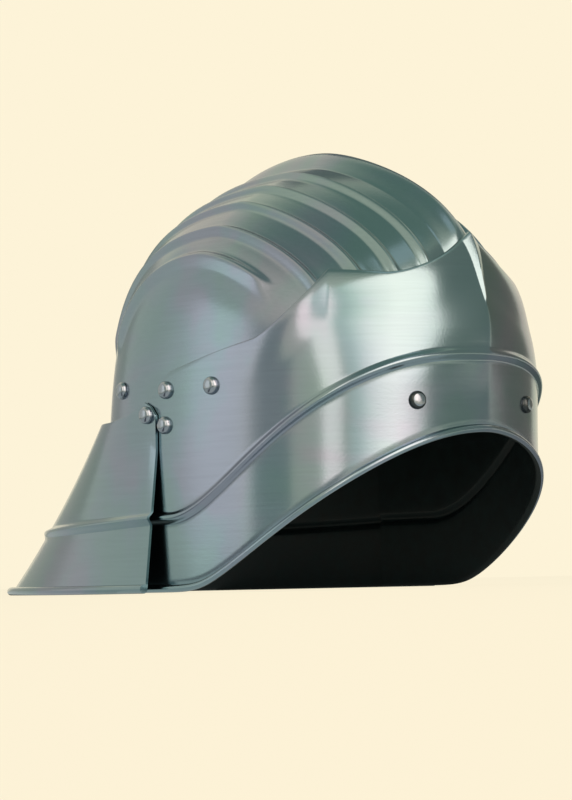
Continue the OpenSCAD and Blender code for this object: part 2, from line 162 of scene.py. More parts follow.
def reach(z, out, ahead):
    """Distance from the centre line to the front (ahead) or the back at height z."""
    fore = (FRONT + out) * shrink(z, out, FRONT_POWERS)
    aft = (BACK + out) * shrink(z, out, BACK_POWERS)
    return np.where(ahead, fore, aft)


def plan_power(z, ahead):
    """Exponent of the superellipse, which falls as the bowl rises, so the crown is rounder in plan."""
    up = rise(z)
    front = mix(PLAN_LOW, PLAN_FRONT, smooth((up - PLAN_START) / PLAN_SPAN))
    return np.where(ahead, front, mix(PLAN_LOW, PLAN_BACK, up))


def mid_y(z):
    """Centre of a level, which leans back as the bowl rises."""
    return CENTRE_Y + CENTRE_LEAN * rise(z) ** 2


def form_point(angle, z, out):
    """Point at an angle in degrees from the front: radius = ((|sin|/w)^n + (|cos|/d)^n)^(-1/n)."""
    angle, z, out = np.broadcast_arrays(np.radians(angle), z, out)
    s, c = np.abs(np.sin(angle)), np.cos(angle)
    n = plan_power(z, c > 0)
    r = ((s / wide(z, out)) ** n + (np.abs(c) / reach(z, out, c > 0)) ** n) ** (-1 / n)
    return np.stack([r * np.sin(angle), mid_y(z) - r * c, z], -1)


print("brow of the bowl at", form_point(0, 100.0, 0.0).round(1))

# %% [markdown]
# ## From grids to meshes
# Every plate here is a grid of points worked out as one array, with an outer face, an inner face and
# the cut edge between them. One helper turns a grid into a mesh, closes it, checks by its volume that
# it is not inside out, and shades it smooth except where two faces meet at a real edge.

# %% Mesh helpers
SHARP_ANGLE = math.radians(50)
MERGE_DISTANCE = 1e-7


def signed_volume(points, faces):
    """Volume from the divergence theorem: the sum of p0 . (p1 x p2) / 6 over a fan in each face."""
    p = points[faces]
    fans = [np.einsum("ij,ij->i", p[:, 0], np.cross(p[:, k], p[:, k + 1])).sum()
            for k in range(1, faces.shape[1] - 1)]
    return sum(fans) / 6


def grid_quads(rows, cols, close_rows, close_cols):
    """Corner numbers of a grid's quads. A closed direction joins its last line to its first."""
    i = np.arange(rows if close_rows else rows - 1)
    j = np.arange(cols if close_cols else cols - 1)
    i, j = np.meshgrid(i, j, indexing="ij")
    k, m = (i + 1) % rows, (j + 1) % cols
    return np.stack([i * cols + j, k * cols + j, k * cols + m, i * cols + m], -1).reshape(-1, 4)


def make_object(name, points, faces, slots=None, ends=None):
    """Mesh object from frame points and quads; merges doubles, so that poles and seams are closed.

    slots is each quad's material slot, and ends are triangles that already face outwards.
    """
    if signed_volume(points, faces) < 0:
        faces = faces[:, ::-1]
    closing = [] if ends is None else ends.tolist()
    mesh = bpy.data.meshes.new(name)
    mesh.from_pydata(points.tolist(), [], faces.tolist() + closing)
    if slots is not None:
        every = np.concatenate([slots, np.zeros(len(closing))])
        mesh.polygons.foreach_set("material_index", every.astype(np.int32))
    work = bmesh.new()
    work.from_mesh(mesh)
    bmesh.ops.remove_doubles(work, verts=work.verts, dist=MERGE_DISTANCE)
    work.to_mesh(mesh)
    work.free()
    mesh.validate()
    mesh.shade_smooth()
    mesh.set_sharp_from_angle(angle=SHARP_ANGLE)
    return link(bpy.data.objects.new(name, mesh))


print("a grid of 4 by 3 points has", len(grid_quads(4, 3, False, False)), "quads")

# %% [markdown]
# ### Sections carried along a path
# The plates and the tongues each have one section that is carried along a path, like clay pushed
# through a die that changes on the way. Their two cut ends are filled with triangles. A curve with a
# bevel could carry a section too, but it could only scale it on the way. The last helper spreads the
# points of the bowl's slices evenly.

# %% Section helpers


def end_triangles(rings, outline):
    """Triangles that fill the first and the last ring; outline is a ring laid flat, as (a, b) pairs."""
    fill = np.array(tessellate_polygon([[Vector((*pair, 0)) for pair in outline.tolist()]]))
    found = []
    for row, beside in ((0, 1), (len(rings) - 1, len(rings) - 2)):
        p = rings[row][fill]
        outward = (rings[row] - rings[beside]).mean(0)
        facing = np.cross(p[:, 1] - p[:, 0], p[:, 2] - p[:, 0]) @ outward
        found.append(np.where(facing[:, None] < 0, fill[:, ::-1], fill) + row * rings.shape[1])
    return np.concatenate(found)


def loop_object(name, rings, outline, painted):
    """Piece whose section is a closed loop, carried along rows, with its two ends filled.

    rings has the shape (rows, loop, 3); painted is true for quads in material slot 1.
    """
    rows, cols = rings.shape[:2]
    faces = grid_quads(rows, cols, False, True)
    slots = np.broadcast_to(painted, (rows - 1, cols)).ravel().astype(int)
    points = to_frame(rings.reshape(-1, 3))
    return make_object(name, points, faces, slots, end_triangles(rings, outline))


def even_lengths(curves, count):
    """Resamples curves of shape (rows, many, 3) so that the points on each lie evenly along it."""
    steps = np.linalg.norm(np.diff(curves, axis=1), axis=2)
    along = np.concatenate([np.zeros((len(curves), 1)), np.cumsum(steps, 1)], 1)
    share = np.linspace(0, 1, count)
    return np.stack([
        np.stack([np.interp(share * length[-1], length, curve[:, k]) for k in range(3)], -1)
        for curve, length in zip(curves, along)])


print("half of a 2 mm line is at", even_lengths(np.array([[[0, 0, 0], [2.0, 0, 0]]]), 3)[0, 1])

# %% [markdown]
# ## The edges of the brow plate
# The plate wraps the face. Its top edge runs level over the temples, sweeps down behind them in a
# concave curve and rises to a point at the front. These curves are functions of the angle from the
# front, and the ribs of the bowl need them as well, because they run in under that edge.

# %% Edge curves
# Angles from the front, in degrees, between which the top edge runs, and its heights there
RUN_A, CORNER_A, SWEEP_A, EAR_A, MEET_A, PLATE_END_A = 24.0, 38.5, 58.0, 90.0, 101.0, 112.0
PLATE_RUN_Z, PLATE_APEX_Z, PLATE_EAR_Z = 161.5, 184.0, 116.5
TAIL_TOP_Z = 93.0
CORNER_Z, TEMPLE_Z = PLATE_RUN_Z + 2.5, PLATE_EAR_Z + 13
MEET_Z, END_Z = TAIL_TOP_Z + 8.5, TAIL_TOP_Z - 3
PEAK_POWER, SWEEP_POWER, BEAD_POWER = 1.8, 1.3, 2.8
BROW_RIM_Z, RIM_FLAT, RIM_EASE = 79.0, 3.0, 2.0
BEAD_REAR_Z, BEAD_FRONT_Z = 39.5, 119.5


def plate_top(angle):
    """Height of the plate's top edge: a power curve to the apex, a flat run, a concave sweep, lines."""
    a = np.abs(angle)
    peak = PLATE_RUN_Z + (PLATE_APEX_Z - PLATE_RUN_Z) * (np.clip(RUN_A - a, 0, None) / RUN_A) ** PEAK_POWER
    run = mix(PLATE_RUN_Z, CORNER_Z, (a - RUN_A) / (CORNER_A - RUN_A))
    sweep = TEMPLE_Z + (CORNER_Z - TEMPLE_Z) * (
        np.clip(SWEEP_A - a, 0, None) / (SWEEP_A - CORNER_A)) ** SWEEP_POWER
    cheek = mix(TEMPLE_Z, PLATE_EAR_Z, (a - SWEEP_A) / (EAR_A - SWEEP_A))
    ear = mix(PLATE_EAR_Z, MEET_Z, (a - EAR_A) / (MEET_A - EAR_A))
    end = mix(MEET_Z, END_Z, (a - MEET_A) / (PLATE_END_A - MEET_A))
    bands = [a < RUN_A, a < CORNER_A, a < SWEEP_A, a < EAR_A, a < MEET_A]
    return np.select(bands, [peak, run, sweep, cheek, ear], end)


def rim_z(angle):
    """Height of the rim: (brow + flat) cos^2 - flat, eased into the table by e ln(1 + exp(z / e))."""
    c = np.clip(np.cos(np.radians(angle)), 0, None)
    return RIM_EASE * np.logaddexp(0, ((BROW_RIM_Z + RIM_FLAT) * c ** 2 - RIM_FLAT) / RIM_EASE)


def bead_z(angle):
    """Height of the bead: falls from the brow to the neck as |sin|^BEAD_POWER."""
    s = np.where(np.abs(angle) < 90, np.abs(np.sin(np.radians(angle))), 1.0)
    return mix(BEAD_REAR_Z, BEAD_FRONT_Z, 1 - s ** BEAD_POWER)


print("top edge at front, temple and ear:", plate_top(np.array([0, 30, 90])))

# %% [markdown]
# ## The bowl and its ribs
# A ridge runs over the middle and five ribs run beside it on each side, all from front to back. The
# grid's rows are slices at one distance from the middle, so each rib is followed by whole rows and
# keeps a crisp crest. Sculpting or a bump map could make them too, but only real relief catches the
# light along its edge. The armourer hammers a rib with a steep inner flank and a slightly gentler
# outer one, both almost flat, and a narrow round crest between them.

# %% Rib shapes
# Ribs: distances of their crests from the middle, and one section, as shares of the height
RIB_X = np.array([25.0, 41.5, 56.5, 72.3, 84.0])
RIB_D = np.array([-3.2, -2.7, -2.2, -1.6, -1.0, -0.5, 0, 0.4, 0.9, 1.5, 2.1, 2.7, 3.3, 3.9])
RIB_SHARE = np.array([0, 0.04, 0.17, 0.45, 0.75, 0.94, 1, 0.94, 0.8, 0.6, 0.38, 0.17, 0.04, 0])
RIB_H = 2.6
RIB_FOOT_Z, RIB_FOOT_FADE = TAIL_TOP_Z + 35, 14.0
# A rib may be this much higher than the plate's edge stands off, and gains this much per mm above it
RIB_ROOM, RIB_ROOM_GAIN = 0.1, 0.5
# The lowest rib ends in the open: its height there, and the fades of its inner and outer flank
LOW_END_Z, LOW_FADES, LOW_BLEND, LOW_START = PLATE_RUN_Z - 1, (9.0, 26.0), 3.0, 0.7
# Ridge: its width, height and shape, and its fades at the nape and under the plate
RIDGE_W, RIDGE_H, RIDGE_POWER, RIDGE_FADE, RIDGE_FRONT_FADE = 24.0, 5.5, 1.2, 45.0, 30.0
# Plate: its gap to the bowl, and how its edge stands off, down to which depth and round to which angle
PLATE_IN, EDGE_LIFT, EDGE_REACH = 0.3, 2.4, 28.0
EDGE_LIFT_END_A, EDGE_LIFT_FADE_A = SWEEP_A + 4, 20.0


def edge_lift(angle, depth):
    """How far the plate's top edge stands off the bowl, fading over EDGE_REACH mm below the edge."""
    round_to = smooth((EDGE_LIFT_END_A - np.abs(angle)) / EDGE_LIFT_FADE_A)
    return EDGE_LIFT * round_to * smooth(1 - depth / EDGE_REACH)


def raised(p):
    """Height of the ridge and ribs over the bowl at points p, faded under the plate and at the nape.

    Each rib's section is drawn through RIB_SHARE at distances RIB_D outward of its crest.
    """
    x, y, z = np.abs(p[..., 0]), p[..., 1], p[..., 2]
    angle = np.degrees(np.arctan2(x, CENTRE_Y - y))
    edge = z - plate_top(angle)
    front = y < mid_y(z)
    arch = np.cos(np.pi * np.clip(x, 0, RIDGE_W / 2) / RIDGE_W)
    ridge = np.where(x < RIDGE_W / 2, arch, 0) ** RIDGE_POWER
    behind, nape = (smooth((z - RIB_FOOT_Z) / fade) for fade in (RIB_FOOT_FADE, RIDGE_FADE))
    height = RIDGE_H * ridge * np.where(front, smooth(edge / RIDGE_FRONT_FADE + 1), nape)
    under = edge_lift(angle, np.clip(-edge, 0, None))
    room = under + RIB_ROOM + RIB_ROOM_GAIN * np.clip(edge, 0, None)
    for number, place in enumerate(RIB_X):
        rib = RIB_H * np.interp(x - place, RIB_D, RIB_SHARE)
        if number == len(RIB_X) - 1:
            length = mix(*LOW_FADES, smooth((x - place + 1) / LOW_BLEND))
            rib = rib * np.where(front, smooth((z - LOW_END_Z) / length + LOW_START), 1)
        rib = np.where(front, np.minimum(rib, room), rib * behind)
        height = np.maximum(height, rib)
    return height


SAMPLE_PLACES = np.array([[0, -30.0, 230.0], [RIB_X[0], -30.0, 220.0]])
print("relief at the crown and on the first rib:", raised(SAMPLE_PLACES).round(1))

# %% [markdown]
# ### Slices of the bowl
# A slice at one distance from the middle is an arch from the front edge over the top to the back edge.
# Its points are spread evenly along it and then pushed out by the relief, along lines that fan out
# from inside the head. Turning the bowl about an upright axis would be simpler, but the rows would
# cross the ribs and make their crests ragged.

# %% Bowl surface
# Steps between slices on the ridge and between the ribs, and the least gap to a slice on a rib
RIDGE_STEP, PLAIN_STEP, LEAST_STEP = 0.8, 1.6, 0.5
SIDE_ROWS, ARC_POINTS, FINE_POINTS = 44, 150, 1201
# The relief's lines start level with AIM_Z and as far to the side as this share of the point's own
AIM_Z, AIM_SIDE = EDGE_Z + 10, 0.2


def crest_z(x, out):
    """Height at which the slice at distance x passes over the top: the inverse of wide()."""
    share = np.clip(np.abs(x) / (HALF_W + out), 0, 1)
    a, b = WIDE_POWERS
    return SHOULDER_Z + (CROWN_Z + out - SHOULDER_Z) * (1 - share ** b) ** (1 / a)


def slice_places(out):
    """Distances of the slices from the middle, closest on the ridge and ribs, level by level beyond."""
    last = RIB_X[-1] + RIB_D[-1] + 1
    levels = mix(EDGE_Z, crest_z(last, out), 1 - np.arange(1, SIDE_ROWS + 1) / SIDE_ROWS)
    on_ribs = (RIB_X[:, None] + RIB_D).ravel()
    plain = np.concatenate([np.arange(0, RIDGE_W / 2 + 1, RIDGE_STEP),
                            np.arange(RIDGE_W / 2 + 1, last, PLAIN_STEP)])
    plain = plain[np.abs(plain[:, None] - on_ribs).min(1) > LEAST_STEP]
    half = np.concatenate([np.sort(np.concatenate([plain, on_ribs])), [last], wide(levels, out)])
    return np.concatenate([-half[:0:-1], half])


def bare_rows(out):
    """Bowl without relief: in each slice |x / wide|^n + |y / reach|^n = 1 gives y at each height."""
    xs = slice_places(out)
    turn = np.linspace(0, np.pi, FINE_POINTS)
    x = np.broadcast_to(xs[:, None], (len(xs), len(turn)))
    tops = np.maximum(crest_z(x, out), EDGE_Z)
    z = EDGE_Z + (tops - EDGE_Z) * np.sin(turn)[None, :]
    ahead = np.broadcast_to(turn[None, :] < np.pi / 2, x.shape)
    n = plan_power(z, ahead)
    share = np.clip(np.abs(x) / wide(z, out), 0, 1)
    away = np.where(ahead, -1, 1) * reach(z, out, ahead) * (1 - share ** n) ** (1 / n)
    away[:, len(turn) // 2] = 0
    return even_lengths(np.stack([x, mid_y(z) + away, z], -1), ARC_POINTS)


def skull_rows(out):
    """Bowl with its relief: points moved out by raised(), and the crown lowered by a soft bend."""
    rows = bare_rows(out)
    aim = rows - np.stack([AIM_SIDE * rows[..., 0], np.full(rows.shape[:2], CENTRE_Y),
                           np.full(rows.shape[:2], AIM_Z)], -1)
    aim /= np.linalg.norm(aim, axis=-1, keepdims=True)
    ahead = (CENTRE_Y + CENTRE_LEAN - rows[..., 1]) / CROWN_ROUND
    flat = CROWN_SOFT * CROWN_ROUND * (np.logaddexp(0, ahead) - np.clip(ahead, 0, None))
    flat = flat * np.exp(-(rows[..., 0] / CROWN_WIDTH) ** 2)
    lift = raised(rows)
    lift[:, [0, -1]] = 0
    rows = rows + aim * lift[..., None]
    rows[..., 2] -= flat
    return rows


def make_skull():
    """Outer and inner domes joined along the lower edge, as one closed shell."""
    outer, inner = skull_rows(0.0), skull_rows(-SHEET)
    rows, cols = outer.shape[:2]
    points = np.concatenate([outer.reshape(-1, 3), inner.reshape(-1, 3)])
    dome = grid_quads(rows, cols, False, False)
    count = rows * cols
    i = np.arange(rows - 1)
    front = np.stack([i * cols, i * cols + count, (i + 1) * cols + count, (i + 1) * cols], -1)
    back = (front + cols - 1)[:, ::-1]
    faces = np.concatenate([dome, (dome + count)[:, ::-1], front, back])
    slots = np.concatenate([np.zeros(len(dome)), np.ones(len(dome)), np.zeros(2 * (rows - 1))])
    return make_object("skull_bowl", to_frame(points), faces, slots)


skull = make_skull()
print("bowl:", len(skull.data.polygons), "faces")

# %% [markdown]
# ## The section of a plate
# Both plates have the same section: a sheet with a raised bead pressed into it and its lower edge
# rolled outwards round a wire. The section is one closed loop, down the outside, round the roll, and
# up the inside, and it is carried along the plate. The loop is written as shares of each stretch, so
# that the bead and the rim can climb and fall along the way.

# %% Plate section
PLATE_ROLL_R, TAIL_ROLL_R = 2.0, 2.4
BEAD_W, BEAD_H = 8.0, 2.4
# The cut edge is rounded by this radius, and the roll's outside starts this many radii above the rim
EDGE_ROUND, ROLL_TOP = 0.45, 1.93
EDGE_TURN, ROLL_TURN = (80, 10), (112, -180)
# Points of the stretches, and how many columns of the roll are painted with the inside
EDGE_POINTS, WALL_POINTS, BEAD_POINTS, SKIRT_POINTS = 6, 34, 21, 20
ROLL_POINTS, FOOT_POINTS, HEAD_POINTS = 25, 14, 22
PAINTED_ROLL = 10


def inner_shares(count):
    """Even shares from 0 to 1 without the two ends, as a row."""
    return np.linspace(0, 1, count)[None, 1:-1]


def plate_section(top, bead, rim, soft, roll):
    """Loop of (out, height) for each row, and which of its columns are painted.

    The bead's height is the cosine hump (1 + cos(180 k)) / 2 for k from 1 to -1 across its width.
    """
    top, bead, rim, soft = (np.asarray(v, float)[:, None] for v in (top, bead, rim, soft))
    blunt = np.radians(np.linspace(*EDGE_TURN, EDGE_POINTS))[None, :]
    edge_out = SHEET - EDGE_ROUND + EDGE_ROUND * np.cos(blunt)
    edge_h = top - EDGE_ROUND + EDGE_ROUND * np.sin(blunt)
    wall_h = mix(top - EDGE_ROUND, bead + BEAD_W / 2, inner_shares(WALL_POINTS))
    k = np.linspace(1, -1, BEAD_POINTS)[None, :]
    hump = BEAD_H * (0.5 + 0.5 * np.cos(np.pi * k)) * soft
    bead_h = bead + k * BEAD_W / 2
    skirt_h = mix(bead - BEAD_W / 2, rim + roll * ROLL_TOP, inner_shares(SKIRT_POINTS))
    turn = np.radians(np.linspace(*ROLL_TURN, ROLL_POINTS))[None, :]
    roll_out, roll_h = roll * (1 + np.cos(turn)), rim + roll * (1 + np.sin(turn))
    foot_h = mix(rim + roll, bead - BEAD_W / 2, inner_shares(FOOT_POINTS))
    head_h = mix(bead + BEAD_W / 2, top, np.linspace(0, 1, HEAD_POINTS)[None, 1:])
    outside = [(edge_out, edge_h), (SHEET, wall_h), (SHEET + hump, bead_h), (SHEET, skirt_h),
               (roll_out, roll_h)]
    inside = [(0.0, foot_h), (hump[:, ::-1], bead_h[:, ::-1]), (0.0, head_h)]
    out = np.concatenate([np.broadcast_to(o, h.shape) for o, h in outside + inside], 1)
    height = np.concatenate([h for _, h in outside + inside], 1)
    painted = np.zeros(out.shape[1], bool)
    painted[-PAINTED_ROLL - sum(h.shape[1] for _, h in inside):-1] = True
    return out, height, painted


print("section:", plate_section([160.0], [80.0], [0.0], [1.0], PLATE_ROLL_R)[0].shape[1], "points")

# %% [markdown]
# ## The brow plate
# In front the plate is drawn out into a keel, pinched to a sharp crest under the apex. Its top edge
# stands a little off the bowl, so the ribs can pass under it. Behind the corners of that edge the cut
# takes the black paint as a painted shadow, so the seam shows as a dark line. The rows of the grid lie
# closest at the keel, where the surface turns most.

# %% Brow plate surface
KEEL_H, KEEL_HALF, PINCH_H, PINCH_HALF = 6.7, 50.0, 2.4, 6.5
# Shares of the keel: what is left below the bead, and what the wedge takes over at the apex
KEEL_LOW, KEEL_LOSS = 0.6, 0.4
# The keel grows from this far under the bead over this length
KEEL_BELOW, KEEL_GROWTH = 24.0, 45.0
PINCH_Z, CREST_Z, CREST_SOFT, CREST_FADE = 143.0, 132.0, 3.5, 20.0
# The bead is this share of its height at the keel, and whole from this angle on
BEAD_SOFT, BEAD_WHOLE_A = 0.6, 12.0
# Rows start at an angle and follow in even steps up to the next start, in degrees
ROW_STEPS = [(0, 0.15), (3, 0.4), (14, 0.6), (RUN_A, 0.5), (CORNER_A, 0.65), (SWEEP_A, 0.75)]
# Columns at the top of the cut edge, behind the corners, that take the black paint as a painted seam shadow
SEAM_SHADOW_COLUMNS = 3


def keel(x, z):
    """How far the keel stands out: H (1 - |x|/w)^2, low under the bead, with a wedge under the apex.

    The wedge narrows to nothing at PINCH_Z, and below it the crest is rounded: sqrt(x^2 + r^2) - r.
    """
    pinch = np.clip((z - PINCH_Z) / (PLATE_APEX_Z - PINCH_Z), 0, 1)
    low = mix(KEEL_LOW, 1, smooth((z - BEAD_FRONT_Z + KEEL_BELOW) / KEEL_GROWTH))
    r = CREST_SOFT * (1 - smooth((z - CREST_Z) / CREST_FADE))
    side = np.sqrt(x ** 2 + r ** 2) - r
    wedge = np.clip(pinch - np.abs(x) / PINCH_HALF, 0, None)
    swell = np.clip(1 - side / KEEL_HALF, 0, 1) ** 2
    return KEEL_H * low * swell * (1 - KEEL_LOSS * smooth(pinch)) + PINCH_H * wedge


def plate_point(angle, out, z, top):
    """Point of the plate: the form, pushed out by the sheet, the edge's lift and the keel."""
    p = form_point(angle, z, PLATE_IN + out + edge_lift(angle, top - z))
    ahead = np.cos(np.radians(angle)) > 0
    p[..., 1] -= np.where(ahead, keel(p[..., 0], z), 0)
    return p


def make_brow_plate():
    """Carries the plate's section round the face, from behind one ear to behind the other."""
    ends = [start for start, _ in ROW_STEPS[1:]] + [PLATE_END_A]
    parts = [np.arange(start, end, step) for (start, step), end in zip(ROW_STEPS, ends)]
    half = np.concatenate([*parts, [PLATE_END_A]])
    angle = np.concatenate([-half[:0:-1], half])
    top = plate_top(angle)
    soft = mix(BEAD_SOFT, 1, np.clip(np.abs(angle) / BEAD_WHOLE_A, 0, 1))
    out, height, inner = plate_section(top, bead_z(angle), rim_z(angle), soft, PLATE_ROLL_R)
    rings = plate_point(angle[:, None], out, height, top[:, None])
    # Behind the corners the top of the cut edge takes the black paint as a painted shadow of the seam
    behind = (np.abs(angle) > CORNER_A)[:-1, None]
    painted = inner | (behind & (np.arange(out.shape[1]) < SEAM_SHADOW_COLUMNS))
    return loop_object("brow_plate_sheet", rings, np.stack([out[0], height[0]], -1), painted)


brow_plate = make_brow_plate()
print("brow plate:", len(brow_plate.data.polygons), "faces")

# %% [markdown]
# ## The tail lame
# The lame guards the neck. Straight lines run from its top edge, which hugs the bowl, to its pointed
# foot on the table, so it is a ruled surface. Its bead and roll stand out along the true normal,
# which is the cross product of the directions along the edge and up the line.

# %% Tail lame surface
LAME_GAP, TAIL_FLARE = 0.5, 10.0
LAME_IN = PLATE_IN + SHEET + LAME_GAP
TAIL_HALF_W, TAIL_LEN = HALF_W + TAIL_FLARE, 253.0
TAIL_BEAD_Z, TAIL_BEAD_TIP_Z = 40.0, 34.0
FOOT_POWER = 1.28
LAME_FRONT_A = 94.5
LAME_TOP_A = [94.5, 97, 100, 104, 110, 120, 180]
LAME_TOP_H = [1, 6, 8.5, 5.5, 2, 0, 0]
# The top edge comes to stand 1 mm further out, from this angle and over this many degrees
LAME_OUT_A, LAME_OUT_FADE = 100.0, 30.0
# Beside the cheeks, within this cosine, the lines are upright above this share of their height
SIDE_COSINE, UPRIGHT_SHARE = 0.5, 0.8
# Small steps for directions: degrees along an edge, and shares of the way up a line
ANGLE_STEP, UP_STEP = 0.5, 0.02
# Rows are closer in front of this angle
SPLIT_A, FRONT_ROWS, BACK_ROWS = 110.0, 46, 170
# The roll is let down on to the table by at most this share of its radius, times the face's tilt
MOST_DROP = 0.55


def lame_head(angle):
    """Top edge, for angles from 0 to 360: on the form, a little further out behind."""
    b = np.where(angle > 180, 360 - angle, angle)
    z = TAIL_TOP_Z + np.interp(b, LAME_TOP_A, LAME_TOP_H)
    p = form_point(b, z, LAME_IN + smooth((b - LAME_OUT_A) / LAME_OUT_FADE))
    p[..., 0] *= np.where(angle > 180, -1, 1)
    return p


def lame_foot(angle):
    """Lower edge: x = w |sin|^p, y = centre + length |cos|^p, a pointed oval on the table."""
    s, c = np.sin(np.radians(angle)), np.cos(np.radians(angle))
    return np.stack([np.sign(s) * TAIL_HALF_W * np.abs(s) ** FOOT_POWER,
                     CENTRE_Y + TAIL_LEN * np.abs(c) ** FOOT_POWER, 0 * s], -1)


def lame_base(angle, up):
    """Bare surface from foot (0) to head (1); towards the cheeks the lines stay upright near the top."""
    head, foot = lame_head(angle), lame_foot(angle)
    side = 1 - smooth(np.abs(np.cos(np.radians(angle))) / SIDE_COSINE)
    spread = mix(1 - up, np.maximum(UPRIGHT_SHARE - up, 0) / UPRIGHT_SHARE, side)
    return np.stack([mix(head[..., 0], foot[..., 0], spread),
                     mix(head[..., 1], foot[..., 1], spread), head[..., 2] * up], -1)


def unit(v):
    """Vectors made one long."""
    return v / np.linalg.norm(v, axis=-1, keepdims=True)


def lame_normal(angle, up):
    """Normal of the bare surface from small steps along and up it."""
    u = np.clip(up, 0, 1)
    along = lame_base(angle + ANGLE_STEP, u) - lame_base(angle - ANGLE_STEP, u)
    rule = lame_base(angle, u + UP_STEP) - lame_base(angle, u - UP_STEP)
    return unit(np.cross(along, rule))


def make_tail_lame():
    """Carries the plate's section along the lame, with heights measured up its slanting wall."""
    half = np.concatenate([np.linspace(LAME_FRONT_A, SPLIT_A, FRONT_ROWS)[:-1],
                           np.linspace(SPLIT_A, 180, BACK_ROWS)])
    angle = np.concatenate([half, 360 - half[-2::-1]])
    face = lame_normal(angle, UP_STEP)
    edge = unit(lame_foot(angle + ANGLE_STEP) - lame_foot(angle - ANGLE_STEP))
    tenth = lame_base(angle, 0.1) - lame_foot(angle)
    slant = np.linalg.norm(np.cross(edge, 10 * tenth), axis=-1)
    bead_height = mix(TAIL_BEAD_Z, TAIL_BEAD_TIP_Z, np.clip(-np.cos(np.radians(angle)), 0, 1))
    bead = bead_height * slant / lame_head(angle)[:, 2]
    out, height, painted = plate_section(slant, bead, 0 * slant, 1 + 0 * slant, TAIL_ROLL_R)
    up = height / slant[:, None]
    level = np.linalg.norm(face[:, :2], axis=-1)
    lift = TAIL_ROLL_R * np.maximum(1 - face[:, 2] - level, -MOST_DROP * face[:, 2])
    turn = np.broadcast_to(angle[:, None], up.shape)
    rings = lame_base(turn, up) + out[..., None] * lame_normal(turn, up)
    rings[..., 2] += lift[:, None] * (1 - np.clip(up, 0, 1))
    return loop_object("tail_lame_sheet", rings, np.stack([out[0], height[0]], -1), painted)


tail_lame = make_tail_lame()
print("tail lame:", len(tail_lame.data.polygons), "faces")

# %% [markdown]
# ## Rivets
# A rivet is turned or cast with a domed head, pushed through the plates and the lining, and hammered
# over a washer, the rove. Its outline is turned about its own axis like a lathe's work. Each pair sits
# square to the bowl, which the form's own tangent gives. The lower part of the front pair's heads is
# painted dark as a ring, a painted dark reflection.

# %% Rivet shapes
HEAD_R, HEAD_H, SHANK_R = 4.75, 3.1, 2.25
# Dome: points of its arc, its shape, the height of its rim and how far the rim draws in below
DOME_POINTS, DOME_POWER, RIM_H, RIM_DRAW, RIM_CLEAR = 19, 0.66, 0.25, 0.1, 0.02
# Hammered end: points of its arc, how much wider than the shank, and its height
END_POINTS, END_WIDER, END_H = 6, 0.9, 1.4
# Columns of the front heads' domes that carry a painted dark reflection, seen as a dark ring
PAINTED_REFLECTION_RING = range(7, 20)
# Gap under a head, gap over a rove, the rove's thickness and the gap past it, in millimetres
HEAD_SEAT, ROVE_SEAT, ROVE_T, END_GAP = 0.3, 0.9, 1.0, 0.1
# Gap round the lining and under the pivots' heads, and the leather's thickness
SEAT, LEATHER = 0.3, 2.2
SPIN_STEPS = 40


def place_axes(angle, z):
    """Place, outward direction and tangent of a point on the bowl, for the wearer's left side."""
    p, q = form_point(angle, z, 0.0), form_point(angle + ANGLE_STEP, z, 0.0)
    along = unit(q - p)
    return p, np.array([along[1], -along[0], 0.0]), along


def turned(outline, place, outward, along):
    """Points of an outline (radius, height) spun about the outward axis, shape (spin, outline, 3)."""
    spin = np.linspace(0, 2 * np.pi, SPIN_STEPS, endpoint=False)[:, None]
    third = np.cross(outward, along)
    radius, height = outline[:, 0][None, :], outline[:, 1][None, :]
    ring = (np.cos(spin) * radius)[..., None] * along + (np.sin(spin) * radius)[..., None] * third
    return place + ring + height[..., None] * outward


def rivet_outline(grip):
    """Half section of a rivet: head dome with a small flat foot, shank, and hammered end."""
    dome = np.radians(np.linspace(90, 0, DOME_POINTS))
    head = np.stack([HEAD_R * np.cos(dome) ** DOME_POWER, HEAD_H * np.sin(dome)], -1)
    head[-1, 1] = RIM_H
    under = -HEAD_SEAT + RIM_CLEAR
    foot = [[HEAD_R - RIM_DRAW, under], [SHANK_R, under], [SHANK_R, -grip]]
    tail = np.radians(np.linspace(0, 90, END_POINTS))
    end = np.stack([(SHANK_R + END_WIDER) * np.cos(tail), -grip - END_H * np.sin(tail)], -1)
    return np.concatenate([head, foot, end])


def make_turned(name, outlines_and_axes, dark=()):
    """One object from several turned shapes, each mirrored to the other side of the helmet.

    dark lists the columns of quads that take material slot 1, where a painted dark reflection goes.
    """
    points, faces, slots, start = [], [], [], 0
    for outline, axes in outlines_and_axes:
        grid = turned(outline, *axes)
        for side in (1, -1):
            copy = to_frame(grid.reshape(-1, 3)) * [side, 1, 1]
            quads = grid_quads(*grid.shape[:2], True, False)
            if signed_volume(copy - copy.mean(0), quads) < 0:
                quads = quads[:, ::-1]
            points.append(copy)
            faces.append(quads + start)
            slots.append(np.tile(np.isin(np.arange(len(outline) - 1), dark), len(grid)))
            start += len(copy)
    return make_object(name, np.concatenate(points), np.concatenate(faces), np.concatenate(slots))


print("a rivet's outline has", len(rivet_outline(SHEET + LEATHER)), "points")

# %% [markdown]
# ### Where the rivets sit
# Each group holds a stack of its own: plate, bowl and band in front and at the sides, plate and bowl at
# the straps, bowl and band behind, and lame, plate and bowl at the pivots. The grip follows from the
# depth of the stack, so each rivet ends just past its rove.

# %% Place the rivets
# Distances outside the bowl, and places as an angle from the front and a height
SKULL_IN = -SHEET
BAND_OUT = SKULL_IN - SEAT
BAND_IN = BAND_OUT - LEATHER
PLATE_OUT = PLATE_IN + SHEET
FRONT_PLACE = [(18, EDGE_Z + 13)]
SIDE_PLACES = [(71, EDGE_Z + 25), (91, EDGE_Z + 25)]
STRAP_PLACE = [(91.2, EDGE_Z + 6.5)]
REAR_PLACE = [(117, EDGE_Z + 28)]


